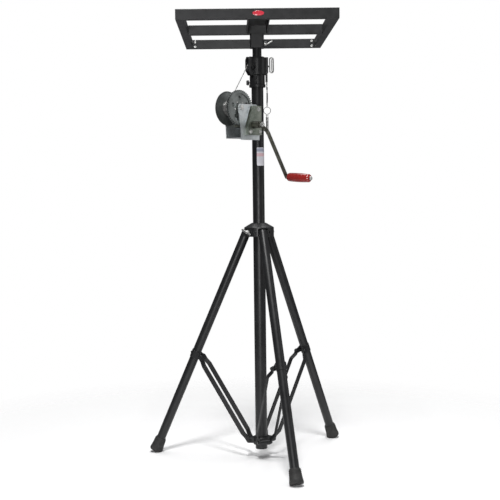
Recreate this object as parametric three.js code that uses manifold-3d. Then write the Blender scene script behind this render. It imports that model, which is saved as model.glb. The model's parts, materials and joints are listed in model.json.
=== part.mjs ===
// Crank lighting stand: folding tripod, telescopic mast raised by a hand winch,
// and a rectangular lamp frame clamped on the mast head.
// Millimetres, +Z up, +Y to the rear. Built about the mast axis, then moved so that
// the middle of its footprint stands on the origin.
import * as THREE from 'three';
import { mergeVertices } from 'three/addons/utils/BufferGeometryUtils.js';
import Module from 'manifold-3d';

const wasm = await Module();
wasm.setup();

// ---------------------------------------------------------------- driving dimensions
const GAP = 0.3;                 // clearance between pieces that touch
const SIDES = 28;                // facets round a tube

const mastRadius = 25;           // outer mast tube
const mastBore = 23;
const mastBottom = 42;
const mastTop = 1620;
const innerRadius = 19;          // sliding inner tube
const innerBore = 16.5;
const innerBottom = 330;
const innerTop = 1785;

const frameWidth = 620;          // lamp frame, outside
const frameFront = -450;
const frameRear = 490;
const frameShiftX = -6;          // the welded frame sits a little left of the mast
const frameUnderside = 1789;
const barHeight = 40;
const barDepth = 30;
const barWall = 2.5;
const channelWidth = 84;         // pressed channel from the front bar to the middle bar
const channelWall = 4;
const socketSize = 58;           // square socket under the middle bar
const socketBottom = 1733;

const headBottom = 1570;         // casting on top of the outer tube
const headShoulder = 1624;
const headTop = 1692;

const winchTurn = -45.6;         // degrees, heading of the drum axle in plan
const drumReach = 140;           // drum axle from the mast axis
const drumHeight = 1479;
const pinionReach = 86;          // crank shaft from the mast axis
const pinionHeight = 1409;
const flangeRadius = 71;
const gearTipRadius = 72;
const gearTeeth = 46;
const pinionTipRadius = 16;
const pinionTeeth = 11;
const coreRadius = 22;
const woundRadius = 31;
const pulleyReach = 39.5;
const pulleyHeight = 1650;
const pulleyCableRadius = 18.5;
const cableRadius = 1.6;
const crankHubX = 104;           // crank hub along the axle, from the mast axis
const crankLength = 268;
const spindleAlong = crankLength - 8.5;
const crankSwing = 34.5;         // degrees, arm away from straight down
const crankLean = 4;             // degrees, arm and grip out of square with the shaft

const legHeading = -74.8;        // degrees, front leg in plan
const legLean = 23.8;            // degrees from upright
const legRadius = 19;
const legBore = 16.8;
const legPivotRadius = 54.2;     // leg hinge from the mast axis
const legPivotHeight = 965;
const clampAlongLeg = 577;       // strut hinge, along the leg from its own hinge
const clampInset = 30;           // and towards the mast from the leg's axis
const collarPivotRadius = 50;
const collarPivotHeight = 74;
const strutInner = 22.3;         // inner face of a strut bar at its ends, from the leg's plane
const strutSpread = 15;          // how far the bar steps out between its ends
const strutThickness = 5;
const strutWidth = 20;
const clampRadius = 21.6;        // pressed clamp round the leg, outside
const hubRadius = 63;
const hubTop = 1003;
const hubRim = 984;
const hubBottom = 946;

const rad = THREE.MathUtils.degToRad;

// ---------------------------------------------------------------- materials
const finish = (color, roughness, metalness) => ({ color, roughness, metalness });
const blackPaint = finish(0x17181a, 0.45, 0.3);
const zincPlate = finish(0x9aa09e, 0.4, 0.9);
const brightSteel = finish(0xb9bcbd, 0.3, 1.0);
const wireRope = finish(0x8d9193, 0.45, 0.9);
const crankSteel = finish(0x4a4d48, 0.45, 0.8);
const redPlastic = finish(0x7a1210, 0.3, 0.0);
const blackPlastic = finish(0x121212, 0.5, 0.0);
const blackRubber = finish(0x0e0e0e, 0.85, 0.0);
const blackCord = finish(0x202124, 0.8, 0.0);

// ---------------------------------------------------------------- solids
// A closed geometry becomes a solid once only its position is left and shared points are merged.
function solid(geometry) {
  const g = geometry.clone();
  g.deleteAttribute('normal');
  g.deleteAttribute('uv');
  const merged = mergeVertices(g, 1e-4);
  return new wasm.Manifold(new wasm.Mesh({
    numProp: 3,
    vertProperties: Float32Array.from(merged.attributes.position.array),
    triVerts: Uint32Array.from(merged.index.array),
  }));
}

function geometryOf(manifold) {
  const mesh = manifold.getMesh();
  const g = new THREE.BufferGeometry();
  g.setAttribute('position', new THREE.BufferAttribute(mesh.vertProperties, 3));
  g.setIndex(new THREE.BufferAttribute(mesh.triVerts, 1));
  g.computeVertexNormals();
  return g;
}

const join = (...parts) => parts.reduce((a, b) => a.add(b));
const cut = (body, ...tools) => tools.reduce((a, b) => a.subtract(b), body);
const moved = (geometry, x, y, z) => geometry.translate(x, y, z);

// An upright cylinder between two heights.
function post(radius, z0, z1, sides = SIDES) {
  return moved(new THREE.CylinderGeometry(radius, radius, z1 - z0, sides).rotateX(Math.PI / 2),
    0, 0, (z0 + z1) / 2);
}

// A cylinder along X between x0 and x1, about the line through (y, z).
function rod(radius, x0, x1, y, z, sides = 16) {
  return moved(new THREE.CylinderGeometry(radius, radius, x1 - x0, sides).rotateZ(-Math.PI / 2),
    (x0 + x1) / 2, y, z);
}

// A box between two corners.
function block(x0, x1, y0, y1, z0, z1) {
  return moved(new THREE.BoxGeometry(x1 - x0, y1 - y0, z1 - z0),
    (x0 + x1) / 2, (y0 + y1) / 2, (z0 + z1) / 2);
}

// A flat plate whose outline is given as [reach, height] from the mast, between x0 and x1.
function sidePlate(outline, x0, x1) {
  const shape = new THREE.Shape(outline.map(([reach, z]) => new THREE.Vector2(-reach, z)));
  const g = new THREE.ExtrudeGeometry(shape, { depth: x1 - x0, bevelEnabled: false });
  // Outline X runs along Y and outline Y along Z; the plate's thickness runs along X.
  g.applyMatrix4(new THREE.Matrix4().set(0, 0, 1, 0, 1, 0, 0, 0, 0, 1, 0, 0, 0, 0, 0, 1));
  return moved(g, x0, 0, 0);
}

// A ring or wheel about the X axis: profile points are [x, radius] and close on themselves.
function wheel(profile, y, z, sides = 40) {
  const points = [...profile, profile[0]].map(([x, r]) => new THREE.Vector2(r, x));
  return moved(new THREE.LatheGeometry(points, sides).rotateZ(-Math.PI / 2), 0, y, z);
}

// A lathe about the Z axis: profile points are [radius, z] and close on themselves.
function turned(profile, sides = SIDES) {
  const points = [...profile, profile[0]].map(([r, z]) => new THREE.Vector2(r, z));
  return new THREE.LatheGeometry(points, sides).rotateX(Math.PI / 2);
}

// A toothed wheel outline in its own plane, teeth as plain trapezoids.
function toothed(teeth, tip, root, width) {
  const shape = new THREE.Shape();
  for (let i = 0; i < teeth; i += 1) {
    [[-0.30, root], [-0.14, tip], [0.14, tip], [0.30, root]].forEach(([part, r], k) => {
      const a = (i + part) * 2 * Math.PI / teeth;
      if (i === 0 && k === 0) shape.moveTo(r * Math.cos(a), r * Math.sin(a));
      else shape.lineTo(r * Math.cos(a), r * Math.sin(a));
    });
  }
  const g = new THREE.ExtrudeGeometry(shape, { depth: width, bevelEnabled: false });
  return g.rotateY(Math.PI / 2);
}

function circleShape(radius, sides) {
  const points = [];
  for (let i = 0; i < sides; i += 1) {
    const a = 2 * Math.PI * i / sides;
    points.push(new THREE.Vector2(radius * Math.cos(a), radius * Math.sin(a)));
  }
  return new THREE.Shape(points);
}

// A round cord or wire along a curve.
function wire(curve, radius, steps, sides = 8) {
  return new THREE.ExtrudeGeometry(circleShape(radius, sides), { steps, extrudePath: curve });
}

const stand = new THREE.Group();

function piece(parent, name, shape, look) {
  const geometry = shape.isBufferGeometry ? shape : geometryOf(shape);
  const mesh = new THREE.Mesh(geometry, new THREE.MeshStandardMaterial(look));
  mesh.name = name;
  parent.add(mesh);
  return mesh;
}

// ---------------------------------------------------------------- mast
function addMast() {
  const tube = cut(solid(post(mastRadius, mastBottom, mastTop)),
    solid(post(mastBore, mastBottom - 1, mastTop + 1)));
  piece(stand, 'outer_mast_tube', tube, blackPaint);

  // The plastic plug has a rim as wide as the tube and a spigot inside it.
  piece(stand, 'mast_end_cap', turned([[0, 38], [mastRadius, 38], [mastRadius, mastBottom - GAP],
    [mastBore - GAP, mastBottom - GAP], [mastBore - GAP, 54], [0, 54]]), blackPlastic);

  const sliding = cut(solid(post(innerRadius, innerBottom, innerTop)),
    solid(post(innerBore, innerBottom - 1, innerTop + 1)));
  piece(stand, 'inner_mast_tube', sliding, blackPaint);

  // The foot guide fills the space round the bottom of the inner tube, with a slot for the cable.
  const guide = solid(turned([[innerBore - 4, innerBottom - 12], [mastBore - GAP, innerBottom - 12],
    [mastBore - GAP, innerBottom + 12], [innerRadius + GAP, innerBottom + 12],
    [innerRadius + GAP, innerBottom - GAP], [innerBore - 4, innerBottom - GAP]]));
  const slot = block(-3, 3, -mastBore - 1, -innerRadius - 0.1, innerBottom - 13, innerBottom + 13)
    .rotateZ(rad(winchTurn));
  piece(stand, 'inner_mast_guide', cut(guide, solid(slot)), blackPlastic);
}

// ---------------------------------------------------------------- mast head and pulley
// The winch, the head's pulley and their cable share one plane, turned about the mast.
const winch = new THREE.Group();
winch.rotation.z = rad(winchTurn);
stand.add(winch);

function addHead() {
  const cheek = (x0, x1) => sidePlate([[14, 1618], [46, 1618], [58, 1634], [60.5, 1650],
    [60.5, 1682], [53, 1695], [14, 1695]], x0, x1);
  const latchBox = block(28, 46, -15, 15, 1630, 1694).rotateZ(rad(-winchTurn));
  const eye = block(34, 43, -17, -7, 1590, 1632).rotateZ(rad(-winchTurn));
  let head = join(solid(post(32, headBottom, headShoulder)),
    solid(post(34.5, headBottom, headBottom + 12)),
    solid(post(38, headShoulder - 2, headTop)),
    solid(cheek(6, 11)), solid(cheek(-11, -6)), solid(latchBox), solid(eye));
  head = cut(head, solid(post(mastRadius + GAP, headBottom - 1, mastTop + GAP)),
    solid(post(mastBore + GAP, mastTop - 1, headTop + 1)), solid(post(30.5, headTop, headTop + 6)),
    solid(block(-6, 6, -90, -12, 1610, 1684)),
    solid(rod(4 + GAP, -14, 14, -pulleyReach, pulleyHeight)),
    solid(rod(8, 11, 26, -pulleyReach, pulleyHeight)), solid(rod(8, -26, -11, -pulleyReach, pulleyHeight)));
  piece(winch, 'mast_head', head, blackPaint);

  const bush = solid(turned([[innerRadius + GAP, headTop - 6], [mastBore, headTop - 6],
    [mastBore, headTop + GAP], [30, headTop + GAP], [30, headTop + 5],
    [innerRadius + GAP, headTop + 5]]));
  piece(stand, 'mast_top_bush', bush, blackPlastic);

  piece(winch, 'pulley_axle', join(solid(rod(4, -13, 13, -pulleyReach, pulleyHeight)),
    solid(rod(7, 11 + GAP, 16, -pulleyReach, pulleyHeight, 6)),
    solid(rod(7, -16, -11 - GAP, -pulleyReach, pulleyHeight, 6))), zincPlate);

  const grooveRadius = pulleyCableRadius - cableRadius - GAP;
  const pulleyRim = pulleyCableRadius + 1.2;
  piece(winch, 'head_pulley', wheel([[-5, 4.4], [-5, pulleyRim], [-3.8, pulleyRim], [-1.2, grooveRadius],
    [1.2, grooveRadius], [3.8, pulleyRim], [5, pulleyRim], [5, 4.4]], -pulleyReach, pulleyHeight, 36),
  blackPlastic);
}

// The friction knob bears on the inner tube through the head's sleeve, from the left.
function addHeadKnob() {
  const knob = join(solid(rod(11, -46, -35, 0, 1590, 20)), solid(rod(5, -35.5, -32.5, 0, 1590)));
  piece(stand, 'head_knob', knob, blackPlastic);
}

// A spring latch on the right: a pull loop on a short stem.
function addLatch() {
  const outline = new THREE.Shape();
  outline.absarc(0, 0, 9.5, Math.PI, 2 * Math.PI, false);
  outline.lineTo(9.5, 48);
  outline.absarc(0, 48, 9.5, 0, Math.PI, false);
  outline.closePath();
  const hole = new THREE.Path();
  hole.absarc(0, 2, 5, Math.PI, 2 * Math.PI, false);
  hole.lineTo(5, 46);
  hole.absarc(0, 46, 5, 0, Math.PI, false);
  hole.closePath();
  outline.holes.push(hole);
  const loop = new THREE.ExtrudeGeometry(outline, { depth: 5, bevelEnabled: false, curveSegments: 8 })
    .rotateX(Math.PI / 2).translate(60, 2.5, 1638);
  const stem = rod(4, 46 + GAP, 53, 0, 1657);
  piece(stand, 'latch_pull', join(solid(loop), solid(stem)), brightSteel);
}

// ---------------------------------------------------------------- winch
const plateOuter = 45;
const plateInner = 41;

function addWinchFrame() {
  // The saddle fills the space between the round mast and the flat back of the winch frame.
  const saddle = cut(solid(block(-30, 30, -36, -12, 1356, 1482)),
    solid(post(mastRadius + GAP, 1350, 1490)));
  piece(winch, 'winch_saddle', saddle, blackPaint);

  const side = [[36.3, 1348], [142, 1348], [144, 1400], [156, 1462], [156, 1488], [150, 1494],
    [54, 1494], [36.3, 1480]];
  const folded = join(solid(sidePlate(side, plateInner, plateOuter)),
    solid(sidePlate(side.map(([reach, z]) => [reach, z === 1348 ? 1356 : z]), -plateOuter, -plateInner)),
    solid(block(-plateOuter, plateOuter, -40, -36 - GAP, 1356, 1480)),
    solid(block(-plateOuter, plateOuter, -142, -36 - GAP, 1356, 1360)));
  const axleHoles = [rod(8 + GAP, -60, 60, -drumReach, drumHeight),
    rod(8 + GAP, -60, 60, -pinionReach, pinionHeight)];
  piece(winch, 'winch_frame', cut(folded, ...axleHoles.map(solid)), zincPlate);

  piece(winch, 'drum_axle', join(solid(rod(8, -50, 50, -drumReach, drumHeight)),
    solid(rod(12, plateOuter + GAP, 52, -drumReach, drumHeight, 6)),
    solid(rod(12, -52, -plateOuter - GAP, -drumReach, drumHeight, 6))), zincPlate);

  // The pressed cover shields the ratchet; its rim stands on the near side plate.
  const cover = [[40, 1368], [118, 1368], [118, 1406], [86, 1488], [40, 1488]];
  const hollow = [[43, 1371], [115, 1371], [115, 1405.4], [83.9, 1485], [43, 1485]];
  const shell = cut(solid(sidePlate(cover, plateOuter + GAP, 62)),
    solid(sidePlate(hollow, plateOuter - 1, 59)),
    solid(rod(15, 50, 70, -pinionReach, pinionHeight, 24)));
  piece(winch, 'brake_cover', shell, zincPlate);
}

function addDrum() {
  piece(winch, 'drum', wheel([[-37, 8.4], [-37, 26], [-36.5, flangeRadius], [-33.5, flangeRadius],
    [-33, coreRadius], [26, coreRadius], [26.5, flangeRadius - 3], [29, flangeRadius - 3],
    [29, 8.4]], -drumReach, drumHeight, 44), zincPlate);

  // Wound cable: one closed ring between the flanges.
  piece(winch, 'drum_cable', wheel([[-32.4, coreRadius + GAP], [-32.4, woundRadius],
    [25.4, woundRadius], [25.4, coreRadius + GAP]], -drumReach, drumHeight, 32), wireRope);

  // The gear is a toothed rim, thinned to a web, with lightening holes.
  const gearStart = 29 + GAP;
  let gear = solid(toothed(gearTeeth, gearTipRadius, gearTipRadius - 5, 9)
    .translate(gearStart, -drumReach, drumHeight));
  gear = cut(gear, solid(rod(8.4, gearStart - 1, 40, -drumReach, drumHeight)),
    solid(wheel([[gearStart + 5, 20], [gearStart + 5, 58], [41, 58], [41, 20]],
      -drumReach, drumHeight, 36)));
  for (let i = 0; i < 5; i += 1) {
    const a = rad(72 * i + 20);
    gear = cut(gear, solid(rod(9, gearStart - 1, 41,
      -drumReach + 40 * Math.cos(a), drumHeight + 40 * Math.sin(a), 14)));
  }
  piece(winch, 'drum_gear', gear, zincPlate);
}

function addCrank() {
  const y = -pinionReach;
  const shaft = join(solid(rod(8, -50, crankHubX - 4, y, pinionHeight)),
    solid(toothed(pinionTeeth, pinionTipRadius, pinionTipRadius - 4, 10).translate(29, y, pinionHeight)),
    solid(rod(14, 60, crankHubX - 8, y, pinionHeight, 20)),
    solid(rod(5, crankHubX - 5, crankHubX + 14, y, pinionHeight, 12)));
  piece(winch, 'pinion_shaft', shaft, crankSteel);

  const ratchet = cut(solid(toothed(16, 22, 17, 7).translate(48, y, pinionHeight)),
    solid(rod(8 + GAP, 40, 60, y, pinionHeight)));
  piece(winch, 'ratchet_wheel', ratchet, zincPlate);

  // The arm is a flat bar: a square end on the shaft, a joggle, then a straight run
  // that leans back towards the mast. Profile points are [distance along the arm, distance along the shaft].
  const lean = Math.tan(rad(crankLean));
  const start = 33;
  const outer = 17;
  const thickness = 7;
  const profile = [[-13, 0], [12, 0], [start, outer], [crankLength, outer - (crankLength - start) * lean],
    [crankLength, outer - (crankLength - start) * lean + thickness], [start - 2, outer + thickness],
    [9, thickness], [-13, thickness]];
  const bar = new THREE.ExtrudeGeometry(new THREE.Shape(profile.map(([t, x]) => new THREE.Vector2(x, -t))),
    { depth: 18, bevelEnabled: false });
  // Shape X is along the shaft and shape Y is up; the bar's width runs across the arm.
  bar.rotateX(Math.PI / 2).translate(0, 9, 0);
  const holder = new THREE.Group();
  holder.position.set(crankHubX - 4 + GAP, y, pinionHeight);
  holder.rotation.x = rad(crankSwing);
  winch.add(holder);
  // The bar is built along local -Z.
  const arm = cut(solid(bar), solid(rod(5 + GAP, -5, 20, 0, 0, 12)));
  piece(holder, 'crank_arm', arm, crankSteel);
  piece(holder, 'crank_nut', cut(solid(rod(8.6, thickness + GAP, thickness + 9, 0, 0, 6)),
    solid(rod(5 + GAP, 0, 30, 0, 0, 12))), brightSteel);
  return { holder, endX: outer - (spindleAlong - start) * lean };
}

function addGrip({ holder, endX }) {
  // Spindle and grip stand square on the leaning arm, near its end.
  const seat = new THREE.Group();
  seat.position.set(endX, 0, -spindleAlong);
  seat.rotation.y = rad(crankLean);
  holder.add(seat);
  piece(seat, 'grip_spindle', join(solid(rod(5, 7.6, 138, 0, 0, 12)), solid(rod(8, 133, 138, 0, 0, 12))),
    zincPlate);
  piece(seat, 'crank_grip', wheel([[14, 5.4], [14, 14], [20, 17.5], [70, 19], [118, 18.5], [129, 15],
    [132, 5.4]], 0, 0, 28), redPlastic);
}

function addPawl() {
  // The pawl swings on the near side plate and drops into the ratchet under the cover.
  const outline = [[47, 1399], [52, 1395.5], [57, 1399], [62, 1409], [66.4, 1420.3], [58, 1414], [49, 1405]];
  piece(winch, 'ratchet_pawl', sidePlate(outline, 48.5, 54), zincPlate);
}

// ---------------------------------------------------------------- lift cable
// From the outer side of the drum up to the head pulley, over it and down between the two tubes.
function addCable() {
  const dy = drumReach - pulleyReach;
  const dz = pulleyHeight - drumHeight;
  const span = Math.hypot(dy, dz);
  const woundCentre = woundRadius + cableRadius + 0.6;
  // Common outer tangent of the drum's winding and the pulley.
  const tilt = Math.atan2(dy, dz) - Math.asin((pulleyCableRadius - woundCentre) / span);
  const offset = (reach, height, radius) => new THREE.Vector3(0, -reach - radius * Math.cos(tilt),
    height + radius * Math.sin(tilt));
  const path = new THREE.CurvePath();
  path.add(new THREE.LineCurve3(offset(drumReach, drumHeight, woundCentre),
    offset(pulleyReach, pulleyHeight, pulleyCableRadius)));
  const wrap = new THREE.Curve();
  wrap.getPoint = (t, target = new THREE.Vector3()) => {
    const a = tilt + t * (Math.PI - tilt);
    return target.set(0, -pulleyReach - pulleyCableRadius * Math.cos(a),
      pulleyHeight + pulleyCableRadius * Math.sin(a));
  };
  path.add(wrap);
  piece(winch, 'lift_cable', wire(path, cableRadius, 44), wireRope);

  const insideReach = pulleyReach - pulleyCableRadius;
  piece(winch, 'lift_cable_inner', moved(post(cableRadius, innerBottom + 14, pulleyHeight - GAP, 8),
    0, -insideReach, 0), wireRope);
}

// ---------------------------------------------------------------- safety pin on its lanyard
const lanyardX = 39.5;
const lanyardY = -12;
function addLanyard() {
  const route = new THREE.CatmullRomCurve3([
    [lanyardX, lanyardY, 1589.7], [lanyardX, lanyardY, 1575], [lanyardX + 0.6, lanyardY, 1555],
    [lanyardX + 0.9, lanyardY, 1535], [lanyardX + 0.6, lanyardY, 1515], [lanyardX, lanyardY, 1500],
    [lanyardX, lanyardY, 1489.3],
  ].map((p) => new THREE.Vector3(...p)));
  piece(stand, 'lanyard', wire(route, 1.8, 24), blackCord);

  const ring = new THREE.TorusGeometry(15, 1.5, 8, 28).rotateX(Math.PI / 2)
    .translate(lanyardX, lanyardY, 1472.5);
  piece(stand, 'lanyard_ring', ring, brightSteel);

  const pin = cut(solid(post(5.5, 1374, 1455, 16).translate(lanyardX, lanyardY, 0)),
    solid(rod(4, lanyardX - 10, lanyardX + 10, lanyardY, 1449.5, 12)),
    solid(block(lanyardX - 1.9, lanyardX + 1.9, lanyardY - 8, lanyardY + 8, 1445, 1453)));
  piece(stand, 'safety_pin', pin, brightSteel);
}

// ---------------------------------------------------------------- lamp frame
function addFrame() {
  const left = frameShiftX - frameWidth / 2;
  const right = frameShiftX + frameWidth / 2;
  const top = frameUnderside + barHeight;
  const tubeX = (x0, x1, y0, y1) => cut(solid(block(x0, x1, y0, y1, frameUnderside, top)),
    solid(block(x0 - 1, x1 + 1, y0 + barWall, y1 - barWall, frameUnderside + barWall, top - barWall)));
  const tubeY = (x0, x1, y0, y1) => cut(solid(block(x0, x1, y0, y1, frameUnderside, top)),
    solid(block(x0 + barWall, x1 - barWall, y0 - 1, y1 + 1, frameUnderside + barWall, top - barWall)));
  piece(stand, 'frame_front_bar', tubeX(left, right, frameFront, frameFront + barDepth), blackPaint);
  piece(stand, 'frame_rear_bar', tubeX(left, right, frameRear - barDepth, frameRear), blackPaint);
  const y0 = frameFront + barDepth + GAP;
  const y1 = frameRear - barDepth - GAP;
  piece(stand, 'frame_left_bar', tubeY(left, left + barDepth, y0, y1), blackPaint);
  piece(stand, 'frame_right_bar', tubeY(right - barDepth, right, y0, y1), blackPaint);
  piece(stand, 'frame_middle_bar', tubeX(left + barDepth + GAP, right - barDepth - GAP,
    -barDepth / 2, barDepth / 2), blackPaint);

  // The channel opens downwards.
  const half = channelWidth / 2;
  const channel = cut(solid(block(-half, half, y0, -barDepth / 2 - GAP, frameUnderside, top)),
    solid(block(-half + channelWall, half - channelWall, y0 - 1, 0, frameUnderside - 1,
      top - channelWall)));
  piece(stand, 'frame_channel', channel, blackPaint);

  const s = socketSize / 2;
  const r = 6;
  const outline = new THREE.Shape();
  [[s - r, s - r, 0], [-s + r, s - r, 1], [-s + r, -s + r, 2], [s - r, -s + r, 3]].forEach(([cx, cy, k]) => {
    outline.absarc(cx, cy, r, k * Math.PI / 2, (k + 1) * Math.PI / 2, false);
  });
  outline.closePath();
  const socket = new THREE.ExtrudeGeometry(outline,
    { depth: frameUnderside - GAP - socketBottom, bevelEnabled: false, curveSegments: 4 })
    .translate(0, 0, socketBottom);
  piece(stand, 'frame_socket', cut(solid(socket),
    solid(post(innerRadius + GAP, socketBottom - 1, innerTop + 1)),
    solid(rod(4 + GAP, 0, 40, 0, 1752))), blackPaint);

  // Clamp screw: threaded shank, collar and a bent handle.
  const screw = join(solid(rod(4, innerRadius + 2 * GAP, 44, 0, 1752)), solid(rod(8, 30, 40, 0, 1752)),
    solid(rod(3.2, 40, 66, 0, 0, 10).rotateY(rad(-20)).translate(3, 0, 1738)));
  piece(stand, 'socket_screw', screw, brightSteel);
}

// ---------------------------------------------------------------- tripod
const legNames = ['front', 'right', 'left'];
const legTurn = (k) => rad(legHeading + 120 * k);

function addHub() {
  let hub = solid(turned([[mastRadius + 0.4, hubBottom], [hubRadius, hubBottom], [hubRadius, hubRim],
    [30, hubTop], [mastRadius + 0.4, hubTop]], 36));
  for (let k = 0; k < 3; k += 1) {
    hub = cut(hub, solid(block(30, 100, -legRadius - 1, legRadius + 1, hubBottom - 1, 979.5)
      .rotateZ(legTurn(k))));
  }
  const lockHeading = rad(legHeading - 60);
  hub = cut(hub, solid(rod(4 + GAP, 20, 80, 0, 966).rotateZ(lockHeading)));
  piece(stand, 'tripod_hub', hub, blackPaint);

  // Wing screw that clamps the hub on the mast, between the front and left legs.
  const lock = join(solid(rod(4, mastRadius + 2 * GAP, 74, 0, 0)), solid(rod(8, hubRadius + 2, 76, 0, 0)),
    solid(new THREE.BoxGeometry(7, 56, 10).rotateX(rad(-24)).translate(78, 0, 0)));
  const holder = new THREE.Group();
  holder.rotation.z = lockHeading;
  holder.position.z = 966;
  stand.add(holder);
  piece(holder, 'hub_lock_screw', lock, brightSteel);
}

function addLeg(k) {
  // The leg group stands at the hinge; its -Z runs down the leg and +X points away from the mast.
  const plan = new THREE.Group();
  plan.rotation.z = legTurn(k);
  stand.add(plan);
  const leg = new THREE.Group();
  leg.position.set(legPivotRadius, 0, legPivotHeight);
  leg.rotation.y = rad(-legLean);
  plan.add(leg);
  const name = legNames[k];
  const floorAlong = legPivotHeight / Math.cos(rad(legLean));

  const tubeEnd = floorAlong - 22;
  const tube = cut(solid(post(legRadius, -tubeEnd, 5, 24)), solid(post(legBore, -tubeEnd - 1, 6, 24)));
  piece(leg, `leg_tube_${name}`, tube, blackPaint);

  // Flared rubber foot, cut square to the leg and worn flat where it stands.
  const soleDepth = floorAlong - 8;
  let foot = solid(turned([[0, -soleDepth], [28, -soleDepth], [29, -soleDepth + 8], [24, -soleDepth + 46],
    [legRadius + 3, -soleDepth + 62], [legRadius + GAP, -soleDepth + 62],
    [legRadius + GAP, -tubeEnd - GAP], [0, -tubeEnd - GAP]], 28));
  const floor = block(350, 610, -130, 130, -60, 0)
    .translate(-legPivotRadius, 0, -legPivotHeight).rotateY(rad(legLean));
  foot = cut(foot, solid(floor));
  piece(leg, `rubber_foot_${name}`, foot, blackRubber);

  // Pressed clamp round the leg with two ears for the struts.
  const z = -clampAlongLeg;
  const earThickness = 5;
  const ear = (side) => {
    const shape = new THREE.Shape();
    shape.absarc(-clampInset, 0, 10, Math.PI / 2, 3 * Math.PI / 2, false);
    shape.lineTo(8, -16);
    shape.lineTo(8, 16);
    shape.closePath();
    return new THREE.ExtrudeGeometry(shape, { depth: earThickness, bevelEnabled: false, curveSegments: 8 })
      .rotateX(Math.PI / 2)
      .translate(0, side > 0 ? strutInner - GAP : -strutInner + GAP + earThickness, z);
  };
  let clamp = join(solid(post(clampRadius, z - 16, z + 16, 24)), solid(ear(1)), solid(ear(-1)));
  clamp = cut(clamp, solid(post(legRadius + GAP, z - 17, z + 17, 24)));
  piece(leg, `strut_clamp_${name}`, clamp, blackPaint);
}

// Strut bars run from the collar on the mast to the clamps on the legs.
const clampSpot = {
  r: legPivotRadius + clampAlongLeg * Math.sin(rad(legLean)) - clampInset * Math.cos(rad(legLean)),
  z: legPivotHeight - clampAlongLeg * Math.cos(rad(legLean)) - clampInset * Math.sin(rad(legLean)),
};
const strutLength = Math.hypot(clampSpot.r - collarPivotRadius, clampSpot.z - collarPivotHeight);
const strutLean = Math.atan2(clampSpot.r - collarPivotRadius, clampSpot.z - collarPivotHeight);

function addStruts(k) {
  const plan = new THREE.Group();
  plan.rotation.z = legTurn(k);
  stand.add(plan);
  const pair = new THREE.Group();
  pair.position.set(collarPivotRadius, 0, collarPivotHeight);
  pair.rotation.y = strutLean;
  plan.add(pair);
  const half = strutWidth / 2;
  ['a', 'b'].forEach((letter, n) => {
    const side = n === 0 ? 1 : -1;
    const face = new THREE.Shape();
    face.absarc(0, 0, half, Math.PI, 2 * Math.PI, false);
    face.absarc(0, strutLength, half, 0, Math.PI, false);
    face.closePath();
    const hole = new THREE.Path();
    hole.absarc(0, 0, 5 + GAP, 0, 2 * Math.PI, false);
    face.holes.push(hole);
    const broad = new THREE.ExtrudeGeometry(face, { depth: 60, bevelEnabled: false, curveSegments: 8 })
      .rotateX(Math.PI / 2).translate(0, n === 0 ? 60 : 0, 0);

    // Seen on edge, the bar steps outwards beside each end: points are [step out, along the bar].
    const low = 16;
    const high = 40;
    const steps = [[0, -half - 1], [0, low], [strutSpread, high], [strutSpread, strutLength - high],
      [0, strutLength - low], [0, strutLength + half + 1]];
    const edge = new THREE.Shape([...steps.map(([out, along]) => [strutInner + out, along]),
      ...steps.map(([out, along]) => [strutInner + strutThickness + out, along]).reverse()]
      .map(([out, along]) => new THREE.Vector2(side * out, along)));
    const narrow = new THREE.ExtrudeGeometry(edge, { depth: strutWidth + 2, bevelEnabled: false })
      .translate(0, 0, -half - 1)
      .applyMatrix4(new THREE.Matrix4().set(0, 0, 1, 0, 1, 0, 0, 0, 0, 1, 0, 0, 0, 0, 0, 1));
    piece(pair, `strut_${legNames[k]}_${letter}`, solid(broad).intersect(solid(narrow)), blackPaint);
  });

  // The collar bolt holds both bars on their lug.
  const reach = strutInner + strutThickness;
  const across = (radius, y0, y1, sides) => rod(radius, y0, y1, 0, 0, sides).rotateZ(Math.PI / 2);
  const bolt = join(solid(across(5, -reach - 3, reach + 3, 12)),
    solid(across(8.5, reach + GAP, reach + 6, 6)), solid(across(8.5, -reach - 6, -reach - GAP, 6)));
  const seat = new THREE.Group();
  seat.position.set(collarPivotRadius, 0, collarPivotHeight);
  plan.add(seat);
  piece(seat, `collar_bolt_${legNames[k]}`, bolt, zincPlate);
}

function addCollar() {
  let collar = solid(post(34, collarPivotHeight - 17, collarPivotHeight + 16, 36));
  for (let k = 0; k < 3; k += 1) {
    const lug = join(solid(block(24, collarPivotRadius, -strutInner + GAP, strutInner - GAP,
      collarPivotHeight - 11, collarPivotHeight + 11)),
      solid(rod(11, -strutInner + GAP, strutInner - GAP, 0, 0, 20).rotateZ(Math.PI / 2)
        .translate(collarPivotRadius, 0, collarPivotHeight)));
    const bore = rod(5 + GAP, -40, 40, 0, 0, 12).rotateZ(Math.PI / 2)
      .translate(collarPivotRadius, 0, collarPivotHeight);
    const turn = new THREE.Matrix4().makeRotationZ(legTurn(k));
    const placed = geometryOf(lug).applyMatrix4(turn);
    collar = cut(join(collar, solid(placed)), solid(bore.applyMatrix4(turn)));
  }
  collar = cut(collar, solid(post(mastRadius + GAP, 50, 120)));
  piece(stand, 'strut_collar', collar, blackPaint);
}

// ---------------------------------------------------------------- assembly
addMast();
addHead();
addHeadKnob();
addLatch();
addWinchFrame();
addDrum();
addGrip(addCrank());
addPawl();
addCable();
addLanyard();
addFrame();
addHub();
addCollar();
for (let k = 0; k < 3; k += 1) {
  addLeg(k);
  addStruts(k);
}

// Stand the middle of the footprint on the origin.
stand.updateMatrixWorld(true);
const box = new THREE.Box3().setFromObject(stand, true);
stand.position.set(-(box.min.x + box.max.x) / 2, -(box.min.y + box.max.y) / 2, 0);

export default stand;
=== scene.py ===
import json
import math

import bmesh
import bpy
import numpy as np
from mathutils import Matrix, Vector


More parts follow.
